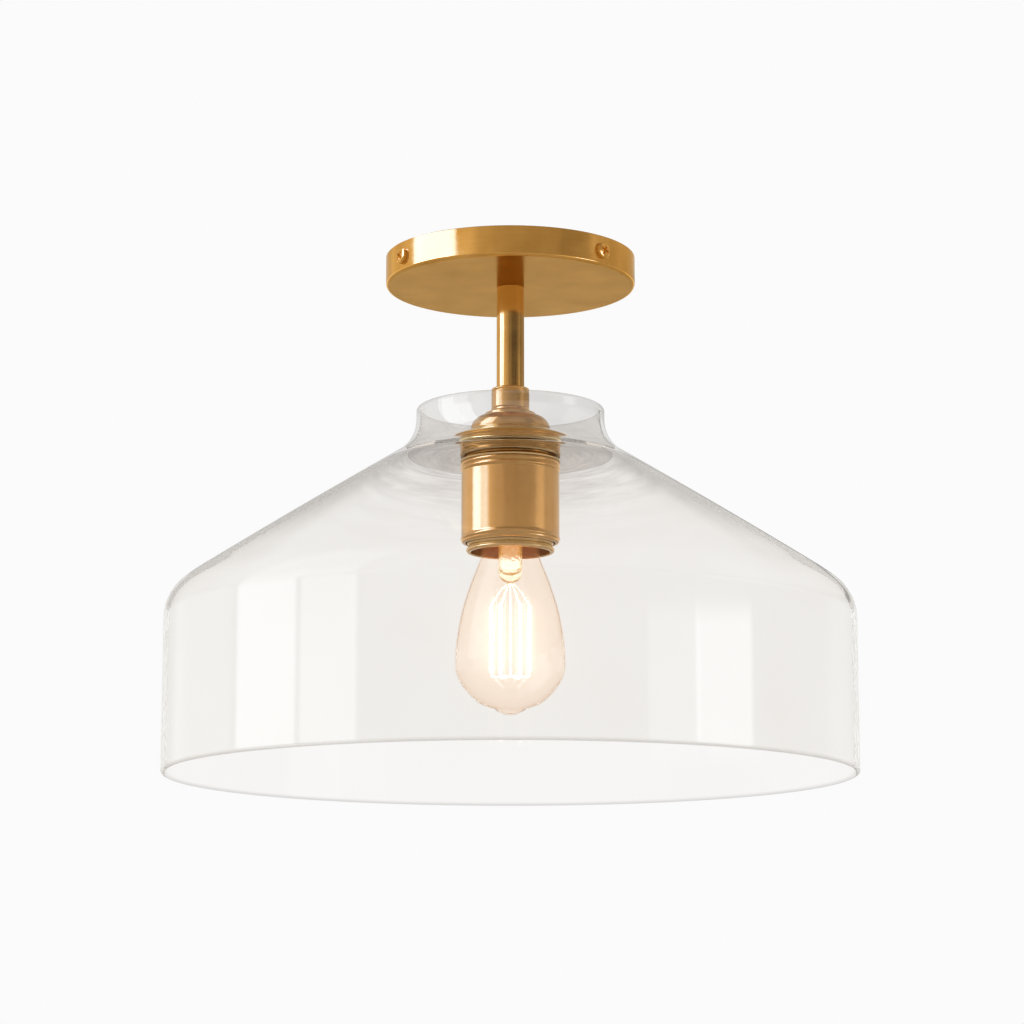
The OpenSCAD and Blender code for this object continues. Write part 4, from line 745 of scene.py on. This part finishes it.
ripples = [(RIPPLE_R + RIPPLE_W * i / RIPPLE_STEPS,
            z_web_low + RIPPLE * (1 - cos(2 * pi * RIPPLES * i / RIPPLE_STEPS)))
           for i in range(RIPPLE_STEPS + 1)]
cone_in = [(r, z) for r, z in arc(cone_c, crown_r - GLASS_T, 90 - SLOPE_IN, 90 - SLOPE_OUT, 24)
           if z < z_web_low - CONE_IN_DROP]
outline = (arc((GLASS_R - HALF_T, Z_RIM + HALF_T), HALF_T, -90, 0, 10)
           + arc(wall_c, SHOULDER_R, 0, SHOULDER_TURN, 28)
           + arc(bend_c, BLEND_R, SHOULDER_TURN, 90 - SLOPE_OUT, 6)[1:]
           + arc(cone_c, crown_r, 90 - SLOPE_OUT, 90 - SLOPE_IN, 12)[1:-1]
           + arc(fillet_c, FILLET_R, 270 - SLOPE_IN, 180, 28)
           + arc((GLASS_NECK_R - HALF_T, Z_NECK_TOP - HALF_T), HALF_T, 0, 180, 14)
           + arc(fillet_c, fillet_in, 180, 180 + web_turn, 16)[:-1]
           + bend(at_wall(z_web + WEB_BEND_UP), at_wall(z_web), at_wall(z_web, WEB_BEND_IN), 12)
           + [(WEB_HOLE_R + HOLE_BEVEL, z_web), (WEB_HOLE_R + HOLE_BEVEL_MID, z_web - HOLE_BEVEL_MID),
              (WEB_HOLE_R, z_web - HOLE_BEVEL), (WEB_HOLE_R, z_web_low + HOLE_BEVEL),
              (WEB_HOLE_R + HOLE_BEVEL_MID, z_web_low + HOLE_BEVEL_MID), (WEB_HOLE_R + HOLE_BEVEL, z_web_low)]
           + ripples
           + bend(at_wall(z_web_low, WEB_BEND_IN), at_wall(z_web_low), at_wall(z_web_low - WEB_BEND_DOWN), 12)
           + cone_in[:-1]
           + arc(bend_c, BLEND_R - GLASS_T, 90 - SLOPE_OUT, SHOULDER_TURN, 6)
           + arc(wall_c, SHOULDER_R - GLASS_T, SHOULDER_TURN, 0, 28)[1:]
           + arc((GLASS_R - HALF_T, Z_RIM + HALF_T), HALF_T, 180, 260, 9))
dressed(turned("glass_dome", outline, 512, 60), "shade", "clear_glass", "glass_shade")

# Bulb glass, with the shelf and the collar that sit in its base
Z_BULB_LOW, Z_SEAT = low("bulb_envelope"), high("bulb_envelope")
Z_BASE_LOW = low("bulb_base")
BULB_R = radius("bulb_envelope")
BULB_WALL = 0.8
BULB_NECK_R, SEAT_R = 13.3, 10.5
# Neck, as share of its radius and distance below the base
NECK_POINTS = ((1.02, 8.06), (1.09, 17.94))
# Body, as shares of the bulb's radius and of its length below the base
BODY_POINTS = ((0.58, 0.752), (0.72, 0.654), (0.878, 0.516), (0.972, 0.376), (1, 0.272), (0.974, 0.2),
               (0.84, 0.132), (0.6, 0.066), (0.42, 0.042), (0.29, 0.03), (0.2, 0.014), (0.09, 0.002), (0, 0))
# The inner face stays this far from the axis
INNER_END_R = 0.3
# The shelf's place below the base, its eased corner, its outer edge's place and its joint to the collar
SHELF_DROP, SHELF_EASE, SHELF_IN, SHELF_JOINT = 0.1, 0.3, 0.5, 0.2
bulb_len = Z_BASE_LOW - Z_BULB_LOW
bulb_outline = smooth_through(
    [(BULB_NECK_R, Z_BASE_LOW - BULB_WALL)]
    + [(BULB_NECK_R * r, Z_BASE_LOW - drop) for r, drop in NECK_POINTS]
    + [(BULB_R * r, Z_BULB_LOW + bulb_len * z) for r, z in BODY_POINTS], 10)
widest = max(r for r, z in bulb_outline)
bulb_outline = [(max(0.0, r * BULB_R / widest), z) for r, z in bulb_outline]


def moved_in(points, t):
    """The bulb's outline moved in by t, without its ends."""
    out = []
    for before, point, after in zip(points, points[1:], points[2:]):
        d = (Vector(after) - Vector(before)).normalized()
        r = point[0] + t * d.y
        if r > INNER_END_R:
            out.append((r, point[1] - t * d.x))
    return out


z_shelf = Z_BASE_LOW - SHELF_DROP
z_shelf_in = z_shelf - BULB_WALL
seat_in = SEAT_R - BULB_WALL
outline = ([(SEAT_R, Z_SEAT), (SEAT_R, z_shelf + SHELF_EASE), (SEAT_R + SHELF_EASE, z_shelf),
            (BULB_NECK_R - SHELF_IN, z_shelf)]
           + bulb_outline + [(0, Z_BULB_LOW + BULB_WALL)]
           + list(reversed(moved_in(bulb_outline, BULB_WALL)))
           + [(SEAT_R, z_shelf_in - SHELF_JOINT), (seat_in, z_shelf_in + SHELF_JOINT), (seat_in, Z_SEAT)])
dressed(turned("bulb_glass", outline, sharp=60), "bulb", "bulb_glass", "bulb_envelope")

# Glass mount inside the bulb: a flare, a stalk and a hollow that opens upwards
Z_MOUNT = low("bulb_mount")
MOUNT_R, FLARE_R, FLARE_H = 6.2, 9.5, 1
STALK_WALL = 1
# The flare, out from the stalk and below the seat, and its inner face in the same way
FLARE_POINTS = ((1.4, 3.5), (0.2, 6), (0, 9))
FLARE_IN_POINTS = ((-STALK_WALL, 7), (0.5, 2.5))
# The stalk's closed end, as share of its radius and above its tip
END_POINTS = ((1, 5), (0.92, 3.2), (0.72, 1.5), (0.36, 0.2), (0, 0))
# The hollow's end, in from the stalk and above its tip
HOLLOW_POINTS = ((MOUNT_R, 4), (2.6, 5), (STALK_WALL, 7))
outer = smooth_through([(FLARE_R, Z_SEAT - FLARE_H)]
                       + [(MOUNT_R + out, Z_SEAT - drop) for out, drop in FLARE_POINTS], 5)
end = smooth_through([(MOUNT_R * r, Z_MOUNT + up) for r, up in END_POINTS], 6)
hollow = smooth_through([(MOUNT_R - inset, Z_MOUNT + up) for inset, up in HOLLOW_POINTS], 5)
outline = ([(FLARE_R - STALK_WALL, Z_SEAT), (FLARE_R, Z_SEAT)] + outer + end + hollow
           + [(MOUNT_R + out, Z_SEAT - drop) for out, drop in FLARE_IN_POINTS])
dressed(turned("glass_mount", outline, 96, 60), "bulb", "mount_glass", "bulb_mount")

# Light strips on a ring, with rounded ends
Z_STRIP, Z_STRIP_LOW = high("bulb_filaments"), low("bulb_filaments")
RING_R = 10
STRIPS, STRIP_R, STRIP_STEPS = 6, 0.7, 12
STRIP_TIP_R, STRIP_TIP_H, STRIP_END_H = 0.45, 0.3, 0.8
BEARINGS = [2 * pi * (k + 0.5) / STRIPS - pi / 2 for k in range(STRIPS)]
strip_heights = ([Z_STRIP - STRIP_TIP_H, Z_STRIP - STRIP_END_H]
                 + [Z_STRIP + (Z_STRIP_LOW - Z_STRIP) * i / STRIP_STEPS for i in range(1, STRIP_STEPS)]
                 + [Z_STRIP_LOW + STRIP_END_H, Z_STRIP_LOW + STRIP_TIP_H])
strip_radii = [STRIP_TIP_R] + [STRIP_R] * (len(strip_heights) - 2) + [STRIP_TIP_R]
bm = bmesh.new()
for a in BEARINGS:
    add_tube(bm, [(RING_R * cos(a), RING_R * sin(a), z) for z in strip_heights], strip_radii, 14)
dressed(finished("light_strips", bm, 50), "bulb", "filament", "bulb_filaments")

# Wires that hold the strips: a crown above and a star below, from a boss and a post on the axis
Z_STAR = low("bulb_supports")
WIRE_R = 0.35
# Boss: its radius, those of its two ends, its height and those of its upper and lower slopes
BOSS_R, BOSS_TOP_R, BOSS_LOW_R, BOSS_H, BOSS_SLOPE, BOSS_SLOPE_LOW = 1.8, 1.5, 1.4, 1.2, 0.3, 0.3
BOSS_GAP = 0.2
KNEE_R, KNEE_DROP = 4.5, 3.2
# How far the wires stay from the strips' ends, and the star's upturned tips
CROWN_OVER, STAR_UNDER, STAR_BEND, STAR_TURN_UP = 0.2, 0.1, 0.96, 0.4
z_boss = Z_MOUNT - BOSS_GAP
z_boss_low = z_boss - BOSS_H
z_wire = Z_STAR + WIRE_R
bm = bmesh.new()
add_tube(bm, [(0, 0, z_boss), (0, 0, Z_STAR)], WIRE_R)
add_turned(bm, [(0, z_boss), (BOSS_TOP_R, z_boss), (BOSS_R, z_boss - BOSS_SLOPE),
                (BOSS_R, z_boss_low + BOSS_SLOPE_LOW), (BOSS_LOW_R, z_boss_low), (0, z_boss_low)], 32)
for a in BEARINGS:
    c, s = cos(a), sin(a)
    crown = ((BOSS_LOW_R, z_boss - BOSS_SLOPE), (KNEE_R, z_boss - KNEE_DROP), (RING_R, Z_STRIP + CROWN_OVER))
    star = ((0, z_wire), (RING_R * STAR_BEND, z_wire), (RING_R, z_wire + STAR_TURN_UP),
            (RING_R, Z_STRIP_LOW - STAR_UNDER))
    for wire in (crown, star):
        add_tube(bm, [(r * c, r * s, z) for r, z in wire], WIRE_R, 8)
dressed(finished("strip_wires", bm, 50), "bulb", "support_wire", "bulb_supports")


# Stage

FLOOR_R, FLOOR_DROP = 9000, 1500
LENS, SENSOR = 106.74, 36
CAMERA_PLACE = (0.85, -1552.0, -419.64)
CAMERA_TILT = 10.365


def add_floor():
    """A plain pale floor far below the light."""
    bm = bmesh.new()
    bmesh.ops.create_circle(bm, cap_ends=True, segments=96, radius=FLOOR_R)
    floor = finished("floor", bm)
    floor.location.z = -FLOOR_DROP * MM
    mat, tree, shader, _ = material("pale_floor")
    grain = noise(tree, coordinates(tree), scale=3, detail=2)
    tree.links.new(tinted(tree, grain, (0.76, 0.76, 0.76), (0.8, 0.8, 0.8)), shader.inputs["Base Color"])
    shader.inputs["Roughness"].default_value = 0.9
    floor.data.materials.append(mat)


def add_camera():
    """The camera, at the photograph's height and angle."""
    camera = bpy.data.objects.new("camera", bpy.data.cameras.new("camera"))
    camera.data.lens = LENS
    camera.data.sensor_width = SENSOR
    camera.location = [value * MM for value in CAMERA_PLACE]
    camera.rotation_euler = (radians(90 + CAMERA_TILT), 0, 0)
    bpy.context.scene.collection.objects.link(camera)
    bpy.context.scene.camera = camera


# Panels of the mirrored room, in degrees to the right of the camera's side of it and above level.
# Each has the bearings and the heights it lies between, the softness of its sides, its strength and the
# softness of its ends. A strength below 0 takes light away.
ROOM = (
    (-46, -20, 9, 11.5, 8, 0.16, 1),
    (-46, -36, 11.5, 50, 8, 0.2, 1),
    (-52, -44, 9.8, 11.4, 12, 0.2, 0.4),
    (-12, 75, 12.2, 14.5, 6, -0.31, 0.3),
    (12, 48, 12.2, 14.5, 6, -0.18, 0.3),
    (84, 180, 12.2, 14.6, 6, -0.3, 0.3),
    (-25, 40, 9.4, 12, 8, 0.15, 0.3),
    (-130, -104, 9.4, 12, 4, -0.1, 0.3),
    (50, 76, 14.5, 50, 5, -0.13, 1),
    (83, 102, 14.8, 50, 4, 0.12, 0.5),
    (-140, -104, 5, 50, 6, 0.2, 1),
    (120, 180, -50, 30, 20, 0.15, 1),
    (-180, -140, -50, 30, 10, 0.1, 1),
    (-180, -104, -50, 9.6, 6, 0.25, 0.4),
    (132, 180, -50, 9.6, 10, 0.2, 0.4),
    (160, 180, -50, 60, 8, 0.05, 1),
    (-180, -160, -50, 60, 8, 0.05, 1),
)
SOFT_BOXES = (
    (-98.6, -73.7, 5.9, 60, 1.5, 1.35, 0.5),
    (-70.4, -50.9, 5.9, 9.4, 1.5, 0.95, 0.5),
    (-70.4, -56, 9.6, 13, 2, 0.7, 0.3),
    (-60, -46, 9.6, 11.4, 8, 0.2, 0.4),
    (66, 108, 9.6, 12, 6, 0.3, 0.3),
    (-130, -106, 9.4, 12, 4, 0.3, 0.3),
    (70, 88, 11.7, 12.6, 1.5, 0.6, 0.2),
    (-73, -52, 13.5, 60, 1.5, 1.25, 0.5),
    (45.4, 62.5, -40, 8.2, 1.5, 0.4, 0.5),
    (62.5, 83.5, -40, 8.2, 1.5, 1.1, 0.5),
)
# Heights between which the room's own light falls from its strength below to that above
ROOM_HEIGHTS, ROOM_LIGHT = (25, 70), (0.5, 0.3)
ROOM_COLOUR = (1, 0.985, 0.96)
BOX_COLOUR = (1, 1.06, 1.14)
BACKDROP = (0.964, 0.964, 0.964)


def add_world():
    """What is seen is plain and pale, and what is mirrored is a dim room with soft boxes."""
    world = bpy.data.worlds.new("studio")
    bpy.context.scene.world = world
    world.use_nodes = True
    tree = world.node_tree
    tree.nodes.clear()
    dx, dy, dz = split_xyz(tree, coordinates(tree, "Generated"))
    bearing = maths(tree, "ARCTAN2", dx, maths(tree, "MULTIPLY", dy, -1))
    side = maths(tree, "MULTIPLY", bearing, 180 / pi)
    lift = maths(tree, "MULTIPLY", maths(tree, "ARCSINE", dz), 180 / pi)

    def window(value, start, end, soft):
        """1 where value lies between start and end, fading to 0 over soft outside them."""
        rise = ranged(tree, value, (start - soft, start), (0, 1))
        fall = ranged(tree, value, (end, end + soft), (1, 0))
        return maths(tree, "MULTIPLY", rise, fall)

    def total(panels, start):
        """The panels' light, on top of start."""
        for a0, a1, e0, e1, soft, strength, soft_end in panels:
            shape = maths(tree, "MULTIPLY", window(side, a0, a1, soft), window(lift, e0, e1, soft_end))
            start = maths(tree, "ADD", start, maths(tree, "MULTIPLY", shape, strength))
        return start

    room = total(ROOM, ranged(tree, lift, ROOM_HEIGHTS, ROOM_LIGHT))
    boxes = total(SOFT_BOXES, 0)
    colour = tree.nodes.new("ShaderNodeCombineColor")
    for socket, room_share, box_share in zip(colour.inputs, ROOM_COLOUR, BOX_COLOUR):
        parts = (maths(tree, "MULTIPLY", room, room_share), maths(tree, "MULTIPLY", boxes, box_share))
        tree.links.new(maths(tree, "ADD", *parts), socket)
    seen, mirrored = (tree.nodes.new("ShaderNodeBackground") for _ in range(2))
    plugged(tree, seen, (BACKDROP,))
    plugged(tree, mirrored, (colour.outputs[0],))
    mix = tree.nodes.new("ShaderNodeMixShader")
    light = plugged(tree, mix, (by_mirror(tree, light_path(tree)), seen.outputs[0], mirrored.outputs[0]))
    tree.links.new(light, tree.nodes.new("ShaderNodeOutputWorld").inputs["Surface"])


# How much of what is over, in red, each channel gains where a bright colour is strong
PALING = (0, 0.72, 1.05)
PALE_FROM, PALE_TO, STRONG = 0.7, 1.35, 1.6


def add_response(scene):
    """A camera's response: bright strong colours pale, and the lamp has a bloom."""
    scene.use_nodes = True
    tree = scene.node_tree
    tree.nodes.clear()

    def sums(operation, a, b):
        return maths(tree, operation, a, b, "CompositorNodeMath")

    split = tree.nodes.new("CompositorNodeSeparateColor")
    plugged(tree, split, (tree.nodes.new("CompositorNodeRLayers").outputs["Image"],))
    red, green, blue, alpha = split.outputs
    strong = sums("MULTIPLY", sums("SUBTRACT", red, blue), STRONG)
    bright = sums("MAXIMUM", sums("SUBTRACT", sums("MINIMUM", red, PALE_TO), PALE_FROM), 0)
    over = sums("MULTIPLY", bright, sums("MINIMUM", strong, 1))
    join = tree.nodes.new("CompositorNodeCombineColor")
    paled = [sums("ADD", channel, sums("MULTIPLY", over, share))
             for channel, share in zip((red, green, blue), PALING)]
    bloom = tree.nodes.new("CompositorNodeGlare")
    bloom.glare_type = "FOG_GLOW"
    bloom.quality = "HIGH"
    preset(bloom, {"Threshold": 1.5, "Strength": 0.5, "Size": 0.6})
    tree.links.new(plugged(tree, join, (*paled, alpha)), bloom.inputs["Image"])
    tree.links.new(bloom.outputs["Image"], tree.nodes.new("CompositorNodeComposite").inputs["Image"])


def set_render(scene):
    """Settings that keep clear glass and small bright strips clean."""
    scene.view_settings.view_transform = "Standard"
    scene.cycles.use_denoising = True
    scene.cycles.max_bounces = 24
    scene.cycles.transmission_bounces = 20
    scene.cycles.glossy_bounces = 8
    scene.cycles.transparent_max_bounces = 48
    scene.cycles.caustics_reflective = False
    scene.cycles.caustics_refractive = False
    scene.cycles.sample_clamp_indirect = 6


add_floor()
add_camera()
add_world()
add_response(bpy.context.scene)
set_render(bpy.context.scene)
